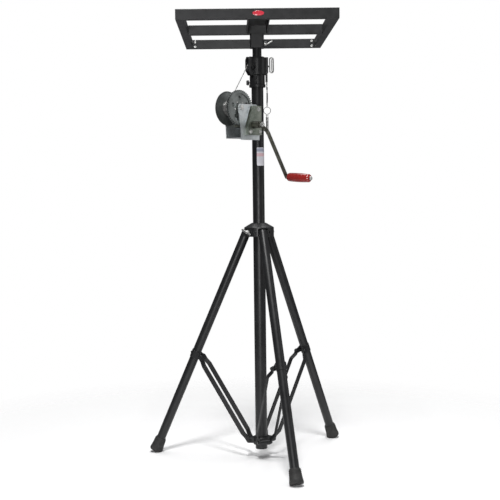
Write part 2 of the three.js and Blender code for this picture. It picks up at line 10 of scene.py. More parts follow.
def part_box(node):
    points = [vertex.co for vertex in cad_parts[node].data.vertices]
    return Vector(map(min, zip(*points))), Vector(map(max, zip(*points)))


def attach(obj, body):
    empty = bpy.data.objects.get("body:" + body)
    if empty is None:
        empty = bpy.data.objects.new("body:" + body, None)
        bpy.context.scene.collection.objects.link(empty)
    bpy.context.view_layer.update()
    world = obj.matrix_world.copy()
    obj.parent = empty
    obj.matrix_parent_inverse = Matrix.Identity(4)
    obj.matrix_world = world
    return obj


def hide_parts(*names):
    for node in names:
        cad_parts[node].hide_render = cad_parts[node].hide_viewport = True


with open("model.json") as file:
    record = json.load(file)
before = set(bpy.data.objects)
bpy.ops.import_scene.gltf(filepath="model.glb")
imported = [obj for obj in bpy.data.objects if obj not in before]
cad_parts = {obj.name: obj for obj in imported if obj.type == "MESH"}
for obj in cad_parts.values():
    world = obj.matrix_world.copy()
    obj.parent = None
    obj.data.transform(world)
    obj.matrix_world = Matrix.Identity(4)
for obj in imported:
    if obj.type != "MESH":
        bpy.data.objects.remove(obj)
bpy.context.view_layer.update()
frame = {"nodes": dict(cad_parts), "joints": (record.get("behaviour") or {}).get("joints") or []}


# ---------------------------------------------------------------- camera
# A long lens set a little to the left of the stand at chest height, tipped slightly down.
# Its place is measured from the mast's own axis, which every section below works from too.
scene = bpy.context.scene
mast_low, mast_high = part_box("outer_mast_tube")
mast_axis = np.array((mast_low + mast_high) / 2) * (1.0, 1.0, 0.0)


def spot(x, y, z):
    """A point in metres, given in millimetres from the mast's axis and the floor."""
    return np.array((x, y, z), float) / 1000 + mast_axis


camera_spot = spot(-94.9, -4605.1, 1184.6)
pitch, yaw, roll = 0.0643, 0.0121, -0.0122
forward = np.array((math.sin(yaw) * math.cos(pitch), math.cos(yaw) * math.cos(pitch), -math.sin(pitch)))
level = np.array((math.cos(yaw), -math.sin(yaw), 0.0))
upright = np.cross(level, forward)
right = math.cos(roll) * level + math.sin(roll) * upright
above = math.cos(roll) * upright - math.sin(roll) * level

camera_data = bpy.data.cameras.new("camera")
camera_data.lens = 78.53
camera_data.sensor_width = 36.0
camera = bpy.data.objects.new("camera", camera_data)
scene.collection.objects.link(camera)
turned_camera = np.eye(4)
turned_camera[:3] = np.stack((right, above, -forward, camera_spot), 1)
camera.matrix_world = Matrix(turned_camera.tolist())
scene.camera = camera
scene.view_settings.view_transform = "Standard"


# ---------------------------------------------------------------- safety pin, ring and lanyard
# A steel pin hangs from the mast head on a short braided cord, which is crimped at both ends and
# sleeved in two places. A split ring, two turns of spring wire, joins the cord to the eye of the pin.
up = np.array((0.0, 0.0, 1.0))


def mesh_of(name, points, faces):
    """A mesh object at the origin. Doubled points are merged and the faces turned to point outwards."""
    data = bpy.data.meshes.new(name)
    data.from_pydata(np.asarray(points, float).tolist(), [], [list(f) for f in faces])
    work = bmesh.new()
    work.from_mesh(data)
    bmesh.ops.remove_doubles(work, verts=work.verts, dist=1e-6)
    bmesh.ops.recalc_face_normals(work, faces=work.faces)
    work.to_mesh(data)
    work.free()
    made = bpy.data.objects.new(name, data)
    scene.collection.objects.link(made)
    return made


def shaded(made, degrees=35):
    """Smooth shading, broken only over edges sharper than the angle."""
    made.data.polygons.foreach_set("use_smooth", np.ones(len(made.data.polygons), bool))
    made.data.set_sharp_from_angle(angle=math.radians(degrees))
    return made


def formed(name, surface, degrees=35):
    """A smoothly shaded piece from a (points, faces) surface."""
    return shaded(mesh_of(name, *surface), degrees)


def grid_faces(rows, columns, rows_meet=False):
    """The squares of a grid of points whose columns meet round the piece; open ends get a flat cap."""
    i, j = np.meshgrid(np.arange(rows if rows_meet else rows - 1), np.arange(columns), indexing="ij")
    i, j = i.ravel(), j.ravel()
    below, beside = (i + 1) % rows, (j + 1) % columns
    squares = np.stack((i * columns + j, i * columns + beside, below * columns + beside,
                        below * columns + j), 1).tolist()
    if rows_meet:
        return squares
    end = (rows - 1) * columns
    return squares + [list(range(columns))[::-1], list(range(end, end + columns))]


def together(*surfaces):
    """Several (points, faces) surfaces as one."""
    starts = np.cumsum([0] + [len(points) for points, _ in surfaces])
    faces = [[k + start for k in face] for start, (_, part) in zip(starts, surfaces) for face in part]
    return np.concatenate([points for points, _ in surfaces]), faces


def swept(path, section, closed=False):
    """A section carried along a path. It turns with the path by the shortest way: each sideways
    direction is the last one with its part along the new tangent taken out. The section may be one
    loop of (across, up) pairs or one loop for each point of the path."""
    path = np.asarray(path, float)
    if closed:
        tangents = np.roll(path, -1, 0) - np.roll(path, 1, 0)
    else:
        tangents = np.gradient(path, axis=0)
    tangents /= np.linalg.norm(tangents, axis=1)[:, None]
    side = np.cross(tangents[0], up if abs(tangents[0][2]) < 0.9 else (0.0, 1.0, 0.0))
    sideways = []
    for tangent in tangents:
        side = side - tangent * (side @ tangent)
        side = side / np.linalg.norm(side)
        sideways.append(side)
    across = np.array(sideways)
    lift = np.cross(tangents, across)
    section = np.asarray(section, float)
    if section.ndim == 2:
        section = np.broadcast_to(section, (len(path),) + section.shape)
    points = path[:, None] + section[:, :, :1] * across[:, None] + section[:, :, 1:] * lift[:, None]
    return points.reshape(-1, 3), grid_faces(len(path), section.shape[1], closed)


def ring_of(count):
    """Angles evenly round a circle."""
    return np.linspace(0, 2 * np.pi, count, endpoint=False)


def round_section(radius, sides=12):
    """A circle of (across, up) pairs, in metres from a radius in millimetres."""
    return radius / 1000 * np.stack((np.cos(ring_of(sides)), np.sin(ring_of(sides))), 1)


def eased(outline, radius, steps=4, closed=True):
    """Each corner of an outline becomes an arc between points at the same distance along its two
    sides, a quadratic curve with the corner as its handle. It is cut short where a side has no room."""
    outline = np.asarray(outline, float)
    made = []
    for k, corner in enumerate(outline):
        if not closed and k in (0, len(outline) - 1):
            made.append(corner)
            continue
        to_last, to_next = outline[k - 1] - corner, outline[(k + 1) % len(outline)] - corner
        reach = min(radius, 0.48 * np.linalg.norm(to_last), 0.48 * np.linalg.norm(to_next))
        first = corner + to_last / np.linalg.norm(to_last) * reach
        last = corner + to_next / np.linalg.norm(to_next) * reach
        t = np.linspace(0, 1, steps + 1)[:, None]
        made.extend((1 - t) ** 2 * first + 2 * t * (1 - t) * corner + t ** 2 * last)
    return np.array(made)


def turned(profile, start, axis, sides=48, closed=True, radius_of=None):
    """A profile of (distance along the axis, radius) pairs in millimetres, carried round the axis that
    leaves start. An open profile starts and ends on the axis. radius_of(angle, along, radius) may
    change the radius round the piece, for flutes and hexagons."""
    axis = np.asarray(axis, float) / np.linalg.norm(axis)
    first = np.cross(axis, up if abs(axis[2]) < 0.9 else (1.0, 0.0, 0.0))
    first /= np.linalg.norm(first)
    second = np.cross(axis, first)
    along, radius = np.asarray(profile, float).T[:, :, None] / 1000
    angle = ring_of(sides)[None]
    radius = np.broadcast_to(radius, (len(along), sides))
    if radius_of is not None:
        radius = radius_of(angle, along * 1000, radius * 1000) / 1000
    points = (np.asarray(start) + along[:, :, None] * axis + (radius * np.cos(angle))[:, :, None] * first
              + (radius * np.sin(angle))[:, :, None] * second)
    faces = grid_faces(len(along), sides, closed)
    return points.reshape(-1, 3), faces if closed else faces[:-2]


def turned_solid(outline, easing, start, axis, sides=48, **options):
    """A turned piece without a bore: its outline starts and ends on the axis, its corners eased."""
    return turned(eased(outline, easing, closed=False), start, axis, sides, closed=False, **options)


class Finish:
    """A node material: one Principled shader whose patterns are read from Object coordinates."""

    def __init__(self, name, roughness=0.5, metallic=0.0, **constants):
        self.material = bpy.data.materials.new(name)
        self.material.use_nodes = True
        tree = self.material.node_tree
        self.nodes, self.links = tree.nodes, tree.links
        self.shader = self.nodes["Principled BSDF"]
        self.shader.inputs["Roughness"].default_value = roughness
        self.shader.inputs["Metallic"].default_value = metallic
        for socket, value in constants.items():
            self.shader.inputs[socket.replace("_", " ")].default_value = value
        self.place = self.nodes.new("ShaderNodeTexCoord").outputs["Object"]
        self.relief = None

    def stretched(self, x, y, z):
        """Object coordinates scaled unequally, for streaked and brushed patterns."""
        mapping = self.nodes.new("ShaderNodeMapping")
        mapping.inputs["Scale"].default_value = (x, y, z)
        self.links.new(self.place, mapping.inputs["Vector"])
        return mapping.outputs["Vector"]

    def noise(self, scale, detail=3.0, vector=None):
        node = self.nodes.new("ShaderNodeTexNoise")
        node.inputs["Scale"].default_value = scale
        node.inputs["Detail"].default_value = detail
        self.links.new(vector or self.place, node.inputs["Vector"])
        return node.outputs["Fac"]

    def cells(self, scale):
        node = self.nodes.new("ShaderNodeTexVoronoi")
        node.inputs["Scale"].default_value = scale
        self.links.new(self.place, node.inputs["Vector"])
        return node.outputs["Color"]

    def mapped(self, value, low, high, new_low, new_high):
        node = self.nodes.new("ShaderNodeMapRange")
        for socket, number in zip(("From Min", "From Max", "To Min", "To Max"),
                                  (low, high, new_low, new_high)):
            node.inputs[socket].default_value = number
        self.links.new(value, node.inputs["Value"])
        return node.outputs["Result"]

    def ramp(self, value, *stops):
        """A colour ramp; each stop is a place followed by its red, green and blue."""
        node = self.nodes.new("ShaderNodeValToRGB")
        elements = node.color_ramp.elements
        while len(elements) < len(stops):
            elements.new(0.5)
        for element, (place, *colour) in zip(elements, stops):
            element.position = place
            element.color = (*colour, 1.0)
        self.links.new(value, node.inputs["Fac"])
        return node.outputs["Color"]

    def laid_over(self, factor, under, over):
        """The second colour over the first where factor is 1."""
        node = self.nodes.new("ShaderNodeMix")
        node.data_type = "RGBA"
        self.links.new(factor, node.inputs["Factor"])
        for socket, colour in ((node.inputs[6], under), (node.inputs[7], over)):
            if isinstance(colour, tuple):
                socket.default_value = (*colour, 1.0)
            else:
                self.links.new(colour, socket)
        return node.outputs[2]

    def colour(self, output):
        self.links.new(output, self.shader.inputs["Base Color"])

    def rough(self, output):
        self.links.new(output, self.shader.inputs["Roughness"])

    def bump(self, value, strength, depth):
        """One more layer of relief, depth in millimetres, over the layers given before it."""
        node = self.nodes.new("ShaderNodeBump")
        node.inputs["Strength"].default_value = strength
        node.inputs["Distance"].default_value = depth / 1000
        self.links.new(value, node.inputs["Height"])
        if self.relief is not None:
            self.links.new(self.relief, node.inputs["Normal"])
        self.relief = node.outputs["Normal"]
        self.links.new(self.relief, self.shader.inputs["Normal"])


def plated_steel(name, dark, light, roughness=(0.25, 0.45)):
    """Bright zinc plate on small steel pieces: soft blotches and fine rubbed scratches."""
    finish = Finish(name, metallic=0.9)
    finish.colour(finish.ramp(finish.noise(90.0, 4.0), (0.32, *dark), (0.68, *light)))
    rub = finish.noise(900.0, 2.0, finish.stretched(1.0, 1.0, 0.15))
    finish.rough(finish.mapped(rub, 0.3, 0.7, *roughness))
    finish.bump(rub, 0.15, 0.05)
    return finish.material


def braided_cord():
    """Black braid: two sets of yarns that cross, as waves at 45 degrees on the cord's own UV map."""
    finish = Finish("lanyard_braid", roughness=0.8)
    uv = finish.nodes.new("ShaderNodeUVMap")
    uv.uv_map = "along"
    ridges = []
    for turn in (45, -45):
        mapping = finish.nodes.new("ShaderNodeMapping")
        mapping.inputs["Rotation"].default_value = (0.0, 0.0, math.radians(turn))
        finish.links.new(uv.outputs["UV"], mapping.inputs["Vector"])
        wave = finish.nodes.new("ShaderNodeTexWave")
        wave.inputs["Scale"].default_value = 1.6
        finish.links.new(mapping.outputs["Vector"], wave.inputs["Vector"])
        ridges.append(wave.outputs["Fac"])
    weave = finish.nodes.new("ShaderNodeMath")
    weave.operation = "MAXIMUM"
    finish.links.new(ridges[0], weave.inputs[0])
    finish.links.new(ridges[1], weave.inputs[1])
    finish.colour(finish.ramp(weave.outputs[0], (0.2, 0.006, 0.006, 0.007), (0.9, 0.03, 0.03, 0.032)))
    finish.bump(weave.outputs[0], 0.6, 0.3)
    return finish.material


def wrap_uv(made, columns, around, along):
    """A UV map named along for a swept piece: U counts round it and V along it, in the given steps."""
    layer = made.data.uv_layers.new(name="along")
    corner = np.empty(len(made.data.loops), np.int32)
    made.data.loops.foreach_get("vertex_index", corner)
    uv = np.stack(((corner % columns) * around, (corner // columns) * along), 1)
    layer.data.foreach_set("uv", uv.astype(np.float32).ravel())


def fitted(made, body, slot, material, *nodes):
    """The piece gets its material, rides on its body and stands for its CAD nodes. Its slot is not used.
    """
    made.data.materials.clear()
    made.data.materials.append(material)
    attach(made, body)
    if nodes:
        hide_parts(*nodes)
    return made


pale_zinc = plated_steel("pale_zinc", (0.45, 0.45, 0.44), (0.72, 0.72, 0.70))
grey_wire = plated_steel("grey_spring_wire", (0.14, 0.14, 0.14), (0.30, 0.30, 0.29))

lanyard_route = np.array([spot(*p) for p in (
    (39.5, -12, 1589.7), (39.5, -12, 1575), (40.1, -12, 1555), (40.4, -12, 1535),
    (40.1, -12, 1515), (39.5, -12, 1500), (39.5, -12, 1489.3))])
cord_radius, sleeve_radius = 1.8, 2.9
yarn_turn, yarn_step = 0.5, 0.6
place_along = np.arange(len(lanyard_route))
fine = np.linspace(0, place_along[-1], 49)
lanyard_path = np.stack([np.interp(fine, place_along, lanyard_route[:, k]) for k in range(3)], 1)
lanyard = formed("lanyard_cord", swept(lanyard_path, round_section(cord_radius)), 60)
wrap_uv(lanyard, 12, yarn_turn, yarn_step)
cord_braid = braided_cord()
fitted(lanyard, "mast", "cord", cord_braid, "lanyard")

cord_height = lanyard_path[:, 2]
sleeved = [lanyard_path[(cord_height > low) & (cord_height < high)]
           for low, high in ((1.504, 1.546), (1.558, 1.572))]
sleeves = together(*(swept(run, round_section(sleeve_radius)) for run in sleeved))
sleeves = formed("lanyard_sleeves", sleeves, 60)
wrap_uv(sleeves, 12, yarn_turn, yarn_step)
fitted(sleeves, "mast", "cord", cord_braid)

pin_x, pin_y = 39.5, -12.0
crimp_outline = [(0, 0), (0, 2.5), (9, 2.9), (18, 2.5), (18, 0)]
crimps = together(*(turned_solid(crimp_outline, 0.8, spot(pin_x, pin_y, low), up, 24)
                    for low in (1487.5, 1571)))
crimps = fitted(formed("lanyard_crimps", crimps), "mast", "bright_steel", pale_zinc)

ring_height, ring_radius, ring_pitch, ring_wire = 1472.5, 14.6, 2.0, 1.2
turns = np.linspace(0, 4 * np.pi, 97)
ring_path = spot(pin_x, pin_y, ring_height) + np.stack((
    ring_radius * np.cos(turns),
    ring_pitch * (turns / (2 * np.pi) - 1),
    ring_radius * np.sin(turns)), 1) / 1000
split_ring = formed("split_ring", swept(ring_path, round_section(ring_wire, 10)), 60)
fitted(split_ring, "mast", "bright_steel", grey_wire, "lanyard_ring")

pin = frame["nodes"]["safety_pin"]
pin_weld = pin.modifiers.new("merged", "WELD")
pin_weld.merge_threshold = 2e-6
pin_flats = pin.modifiers.new("flat_faces", "DECIMATE")
pin_flats.decimate_type = "DISSOLVE"
pin_flats.angle_limit = math.radians(0.6)
pin_edges = pin.modifiers.new("rounded", "BEVEL")
pin_edges.width = 0.001
pin_edges.segments = 4
pin_edges.limit_method = "ANGLE"
pin_edges.angle_limit = math.radians(15)
pin.data.materials.clear()
pin.data.materials.append(pale_zinc)


# ---------------------------------------------------------------- floor and light
# A pale floor that fades into a white surround. One light stands high in front and one overhead. A
# tall strip low in front and a wide panel on the right give the tubes and the zinc their highlights.
scene.world = bpy.data.worlds.new("surround")
scene.world.use_nodes = True
sky = scene.world.node_tree
seen = sky.nodes.new("ShaderNodeLightPath")
choice = sky.nodes.new("ShaderNodeMix")
choice.data_type = "RGBA"
lit_by, seen_as = choice.inputs[6], choice.inputs[7]
lit_by.default_value = (0.15, 0.15, 0.155, 1.0)
seen_as.default_value = (1.0, 1.0, 1.0, 1.0)
sky.links.new(seen.outputs["Is Camera Ray"], choice.inputs["Factor"])
sky.links.new(choice.outputs[2], sky.nodes["Background"].inputs["Color"])

floor_radius, floor_depth, fade_start, fade_end = 4.0, 0.0001, 0.7, 1.9
rim = ring_of(96)
floor_edge = np.stack((floor_radius * np.cos(rim), floor_radius * np.sin(rim),
                       np.full(len(rim), -floor_depth)), 1)
floor = mesh_of("floor", floor_edge, [list(range(96))])
floor_paint = Finish("pale_floor", roughness=0.9)
floor_paint.shader.inputs["Base Color"].default_value = (0.95, 0.95, 0.95, 1.0)
far_off = floor_paint.nodes.new("ShaderNodeVectorMath")
far_off.operation = "LENGTH"
floor_paint.links.new(floor_paint.place, far_off.inputs[0])
fade = floor_paint.mapped(far_off.outputs["Value"], fade_start, fade_end, 1.0, 0.0)
floor_paint.links.new(fade, floor_paint.shader.inputs["Alpha"])
floor.data.materials.append(floor_paint.material)


def soft_light(name, place, aim, wide, tall, watts):
    """A rectangular area light at one point, facing another."""
    data = bpy.data.lights.new(name, "AREA")
    data.shape = "RECTANGLE"
    data.size = wide
    data.size_y = tall
    data.energy = watts
    made = bpy.data.objects.new(name, data)
    made.location = place
    made.rotation_euler = (Vector(aim) - Vector(place)).to_track_quat("-Z", "Y").to_euler()
    scene.collection.objects.link(made)


soft_light("key", (-0.2, -2.3, 4.6), (0, 0, 0.6), 0.8, 0.8, 165)
soft_light("front_strip", (-0.35, -4.4, 0.8), (0, 0, 0.8), 0.7, 1.4, 68)
soft_light("right_panel", (3.2, -0.6, 1.7), (0, 0, 1.3), 2.2, 2.2, 11)
soft_light("overhead", (0.2, 0.8, 4.4), (0, 0, 0), 2.6, 2.6, 100)


# ---------------------------------------------------------------- mast tubes
# Two welded steel tubes in satin black powder coat. The inner one slides in the outer one, between
# a guide on its foot and a plastic bush in the mast head, and a plastic plug closes the bottom.
def powder_coat(name, rubbed=0.0):
    """Satin black powder coat: fine orange peel, faint dust, and lighter rubbed streaks that run
    along the height where pieces slide."""
    finish = Finish(name, Specular_IOR_Level=0.45)
    dust = finish.noise(14.0, 6.0)
    shade = finish.ramp(dust, (0.35, 0.0055, 0.0057, 0.0063), (0.75, 0.0125, 0.013, 0.014))
    scratch = finish.noise(260.0, 4.0, finish.stretched(1.0, 1.0, 0.03))
    marks = finish.mapped(scratch, 0.66, 0.78, 0.0, 0.10 + rubbed)
    finish.colour(finish.laid_over(marks, shade, (0.09, 0.09, 0.092)))
    finish.rough(finish.mapped(finish.noise(40.0, 5.0), 0.3, 0.7, 0.34, 0.46))
    finish.bump(finish.noise(1100.0, 2.0), 0.12, 0.12)
    finish.bump(finish.noise(150.0, 2.0), 0.06, 0.3)
    return finish.material


def moulded_plastic():
    """Black moulded plastic with a fine spark-eroded grain."""
    finish = Finish("moulded_black_plastic", roughness=0.5)
    finish.colour(finish.ramp(finish.noise(60.0, 4.0),
                              (0.3, 0.009, 0.009, 0.01), (0.7, 0.018, 0.018, 0.019)))
    finish.rough(finish.mapped(finish.noise(200.0, 3.0), 0.3, 0.7, 0.42, 0.58))
    finish.bump(finish.noise(2600.0, 2.0), 0.2, 0.1)
    return finish.material


def pipe(name, low, high, outside, inside, start, axis, edge=0.6, sides=96):
    """A tube between two distances along its axis, its four edges eased."""
    loop = eased([(low, outside), (high, outside), (high, inside), (low, inside)], edge)
    return formed(name, turned(loop, start, axis, sides))


mast_outside, mast_inside, inner_outside, inner_inside = 25, 23, 19, 16.5
black_coat = powder_coat("black_powder_coat")
sliding_coat = powder_coat("rubbed_powder_coat", rubbed=0.25)
black_plastic = moulded_plastic()

fitted(pipe("outer_mast", 42, 1620, mast_outside, mast_inside, mast_axis, up),
       "mast", "black_paint", black_coat, "outer_mast_tube")
fitted(pipe("inner_mast", 330, 1785, inner_outside, inner_inside, mast_axis, up),
       "inner_mast", "black_paint", sliding_coat, "inner_mast_tube")
plug = turned_solid([(38, 0), (38, 25), (41.7, 25), (41.7, 22.7), (54, 22.7), (54, 0)], 1.2,
                    mast_axis, up, 64)
fitted(formed("mast_plug", plug), "mast", "black_plastic", black_plastic, "mast_end_cap")
bush = eased([(1686, 19.3), (1686, 22.9), (1692.3, 22.9), (1692.3, 30), (1697, 30), (1697, 19.3)], 1.3)
fitted(formed("top_bush", turned(bush, mast_axis, up, 72)), "mast", "black_plastic", black_plastic,
       "mast_top_bush")
guide_loop = eased([(318, 12.5), (318, 22.7), (342, 22.7), (342, 19.3), (329.7, 19.3), (329.7, 12.5)],
                   0.8)


def slotted(angle, along, radius, cable_side=math.radians(134.4), groove_floor=19.35):
    """A shallow groove in the guide's outside, where the lift cable passes."""
    in_groove = np.cos(angle - cable_side) > 0.992
    return np.where((radius > groove_floor) & in_groove, groove_floor, radius)


fitted(formed("foot_guide", turned(guide_loop, mast_axis, up, 96, radius_of=slotted)),
       "inner_mast", "black_plastic", black_plastic, "inner_mast_guide")


# A plain paper label wraps the mast's right front below the winch.
label_low, label_high, label_half, corner = 1243.0, 1319.0, 18.5, 4.0
label_heading = math.radians(-62)


def pale_label():
    """Coated paper with a slate band near the top, a faint red one under it and no print."""
    finish = Finish("plain_label", roughness=0.45)
    split = finish.nodes.new("ShaderNodeSeparateXYZ")
    finish.links.new(finish.place, split.inputs[0])
    height = finish.mapped(split.outputs["Z"], label_low / 1000, label_high / 1000, 0.0, 1.0)
    paper, red, slate = (0.80, 0.79, 0.84), (0.82, 0.56, 0.60), (0.40, 0.42, 0.52)
    finish.colour(finish.ramp(height, (0.50, *paper), (0.53, *red), (0.68, *red), (0.71, *paper),
                              (0.76, *paper), (0.79, *slate), (0.94, *slate), (0.97, *paper)))
    finish.bump(finish.noise(500.0, 3.0), 0.1, 0.05)
    return finish.material


# The label's corners are arcs: near each end its half width loses corner - sqrt(corner^2 - depth^2).
label_z = label_low + (label_high - label_low) * np.linspace(0, 1, 33)[:, None]
depth = np.clip(corner - np.minimum(label_z - label_low, label_high - label_z), 0, corner)
half_width = label_half - (corner - np.sqrt(corner ** 2 - depth ** 2))
out_and_back = np.concatenate((np.linspace(-1, 1, 15), np.linspace(1, -1, 15)))[None] * half_width
face_radius = np.where(np.arange(30) < 15, mast_outside + 0.22, mast_outside + 0.03)[None]
heading = out_and_back / mast_outside + label_heading
label_points = np.stack(np.broadcast_arrays(
    face_radius * np.cos(heading), face_radius * np.sin(heading), label_z), 2)
label = (label_points.reshape(-1, 3) / 1000 + mast_axis, grid_faces(33, 30))
fitted(formed("mast_label", label), "mast", "label", pale_label())


# ---------------------------------------------------------------- mast head
# One casting clamps on the outer tube. It holds the top bush, the cable pulley between two cheeks, a
# spring latch with its pull loop and a friction knob. Small cap screws pinch its front seam.
joints = {j["name"]: j for j in frame["joints"]}
winch_axle = np.array(joints["drum_turn"]["axis"])
outward = np.array((winch_axle[1], -winch_axle[0], 0.0))


def at_winch(along, reach, z):
    """A point in the winch's own plan: millimetres along its axles, away from the mast, and up."""
    return spot(0, 0, z) + (along * winch_axle + reach * outward) / 1000


def casting(node, name, voxel, passes):
    """A copy of a CAD node as one cast skin: rebuilt on a fine grid of cubes, then each point is moved
    to the mean of its neighbours a few times, which rounds every edge and fillets every corner."""
    data = frame["nodes"][node].data.copy()
    made = bpy.data.objects.new(name, data)
    scene.collection.objects.link(made)
    weld = made.modifiers.new("weld", "WELD")
    weld.merge_threshold = 1e-6
    grid = made.modifiers.new("grid", "REMESH")
    grid.mode = "VOXEL"
    grid.voxel_size = voxel / 1000
    smooth = made.modifiers.new("rounded", "SMOOTH")
    smooth.factor = 0.5
    smooth.iterations = passes
    finished = bpy.data.meshes.new_from_object(made.evaluated_get(bpy.context.evaluated_depsgraph_get()))
    made.modifiers.clear()
    made.data = finished
    return shaded(made, 80)


def off_flat(angle):
    """The angle off the nearest flat of a hexagon."""
    return (angle + math.pi / 6) % (math.pi / 3) - math.pi / 6


def six_sided(flat):
    """A radius function for a hexagon: half its width over the cosine of the angle off the nearest
    flat, cut back to the profile's own radius, which gives the turned chamfer."""
    def radius_of(angle, along, radius):
        return np.minimum(flat / 2 / np.cos(off_flat(angle)), radius)
    return radius_of


def hex_head(seat, outwards, flat, height, washer=0.0, stud=0.0):
    """A hexagon head or nut on a seat: flat is its width over flats, with a washer under it and the
    end of a stud standing proud of it, all in millimetres."""
    parts = []
    low = 0.0
    if washer:
        low = 1.6
        disc = [(0, 0), (0, washer), (low, washer), (low, 0)]
        parts.append(turned_solid(disc, 0.4, seat, outwards, 40))
    top = low + height
    head = [(low, 0), (low, flat * 0.56), (low + 0.4, flat * 0.585), (top - flat * 0.07, flat * 0.585),
            (top, flat * 0.49), (top, 0)]
    parts.append(turned(head, seat, outwards, 72, closed=False, radius_of=six_sided(flat)))
    if stud:
        thread, tip = flat * 0.27, top + stud
        end = [(top - 1, 0), (top - 1, thread), (tip, thread), (tip, 0)]
        parts.append(turned_solid(end, 0.8, seat, outwards, 32))
    return together(*parts)


def bolt_through(middle, axis, half, radius, easing, sides, *ends):
    """A plain rod through its middle point, reaching half its length each way, with its heads."""
    rod = [(-half, 0), (-half, radius), (half, radius), (half, 0)]
    return together(turned_solid(rod, easing, middle, axis, sides), *ends)


head = casting("mast_head", "mast_head_casting", 1.1, 5)
fitted(head, "mast", "black_paint", black_coat, "mast_head")

pulley_reach, pulley_height, cable_bend = 39.5, 1650.0, 18.5
head_groove = eased([(-5, 4.3), (-5, 19.7), (-3.8, 19.7), (-1.7, 16.8), (0, 16.2), (1.7, 16.8),
                     (3.8, 19.7), (5, 19.7), (5, 15), (3.2, 13.5), (3.2, 9), (5, 7.8), (5, 4.3)], 0.8)
pulley_spot = at_winch(0, pulley_reach, pulley_height)
fitted(formed("cable_pulley", turned(head_groove, pulley_spot, winch_axle, 72)),
       "pulley", "black_plastic", black_plastic, "head_pulley")
pulley_bolt = bolt_through(
    pulley_spot, winch_axle, 13, 4, 0.5, 32,
    hex_head(at_winch(11.3, pulley_reach, pulley_height), winch_axle, 11, 4.4, stud=1.5),
    hex_head(at_winch(-11.3, pulley_reach, pulley_height), -winch_axle, 11, 4.4))
fitted(formed("pulley_bolt", pulley_bolt), "mast", "zinc", black_coat, "pulley_axle")


def socket_screw_head(seat, outwards, radius):
    """A cap screw: a round head with a six-sided socket sunk in it."""
    face, lip, socket, deep = radius * 0.9, radius * 0.55, radius * 0.5, radius * 0.35
    shell = eased([(0, 0), (0, radius), (face, radius), (face, lip)], 0.5, closed=False)
    profile = np.concatenate((shell, [(deep, socket), (deep, 0)]))
    inner = np.arange(len(profile))[:, None] >= len(shell) - 1

    def radius_of(angle, along, radius_here):
        return np.where(inner, radius_here * 0.9 / np.cos(off_flat(angle)), radius_here)
    return turned(profile, seat, outwards, 48, closed=False, radius_of=radius_of)


seam_heading = math.radians(-99)
seam_way = np.array((math.cos(seam_heading), math.sin(seam_heading), 0.0))
seam = [socket_screw_head(spot(*(r * seam_way[:2]), z), seam_way, 4.2)
        for r, z in ((37.4, 1676), (37.4, 1641), (31.6, 1597))]
fitted(formed("head_cap_screws", together(*seam)), "mast", "black_plastic", black_plastic)

# The raised pad on the head's sleeve is an arch with a soft edge: straight sides up to 0.72 of its
# height, then half an ellipse, and its relief falls off steeply towards the rim.
pad_low, pad_tall, pad_seat = 1583, 37, 31.2
pad_u, pad_v = np.meshgrid(np.linspace(-1, 1, 25), np.linspace(0, 1, 33), indexing="ij")
pad_half = 13.0 * np.sqrt(np.clip(1 - np.clip((pad_v - 0.72) / 0.28, 0, 1) ** 2, 0.0, 1))
pad_angle = math.radians(-77) + pad_u * pad_half / 32
pad_rise = 2.6 * (1 - np.abs(pad_u) ** 6) * np.clip((1 - pad_v) * 14, 0, 1) ** 0.5
pad_front, pad_back = (
    np.stack((out * np.cos(pad_angle), out * np.sin(pad_angle), pad_low + pad_tall * pad_v), 2)
    for out in (pad_seat + pad_rise, 30))
pad_loops = np.concatenate((pad_front, pad_back[::-1]), 0).transpose(1, 0, 2)
pad = (pad_loops.reshape(-1, 3) / 1000 + mast_axis, grid_faces(33, 50))
fitted(formed("head_wear_pad", pad, 50), "mast", "black_paint", black_coat)


def fluted(count, depth_share):
    """A radius function with rounded flutes on the wide part of a knob."""
    def radius_of(angle, along, radius):
        return radius * (1 - depth_share * np.clip(np.cos(count * angle), 0, 1) ** 2 * (radius > 7))
    return radius_of


knob_outline = [(0, 0), (0, 8), (2.5, 10.4), (9, 11), (11, 9.5), (11.4, 5), (13.5, 5), (13.5, 0)]
knob = turned_solid(knob_outline, 1.5, spot(-46, 0, 1590), (1, 0, 0), 96, radius_of=fluted(9, 0.14))
fitted(formed("friction_knob", knob, 40), "head_knob", "black_plastic", black_plastic, "head_knob")


def squared_ring(count, half_wide, half_high, wide_power, high_power):
    """A rounded rectangle: a circle's cosine and sine, each raised to a power up to one, signs kept."""
    cosine, sine = np.cos(ring_of(count)), np.sin(ring_of(count))
    return np.stack((half_wide * np.sign(cosine) * np.abs(cosine) ** wide_power,
                     half_high * np.sign(sine) * np.abs(sine) ** high_power), 1)


# The latch's pull loop is a long ring of plated wire on a short stem, with a thinner spare ring.
loop_bend, loop_straight = 7.2, 48
run = np.linspace(0, 1, 13, endpoint=False)[:, None] * (0, loop_straight)
half_turn = np.linspace(0, np.pi, 17)[:-1]
bend = loop_bend * np.stack((np.cos(half_turn), np.sin(half_turn)), 1)
long_ring = np.concatenate((bend + (0, loop_straight), (-loop_bend, loop_straight) - run, -bend,
                            (loop_bend, 0) + run))
loop_path = np.array([spot(60 + x, 0, 1638 + z) for x, z in long_ring])
spare_path = np.array([spot(64.5 + 0.55 * x, 0.7 * x - 3, 1640 + 0.86 * z) for x, z in long_ring])
wire = squared_ring(16, 2.5, 2.25, 0.7, 0.7) / 1000
stem = turned_solid([(46.3, 0), (46.3, 4), (48.5, 4), (49.5, 3), (54.5, 3), (54.5, 0)], 0.6,
                    spot(0, 0, 1657), (1, 0, 0), 32)
latch = together(swept(loop_path, wire, closed=True), swept(spare_path, wire * 0.7, closed=True), stem)
fitted(formed("latch_loop", latch, 50), "latch", "bright_steel", grey_wire, "latch_pull")


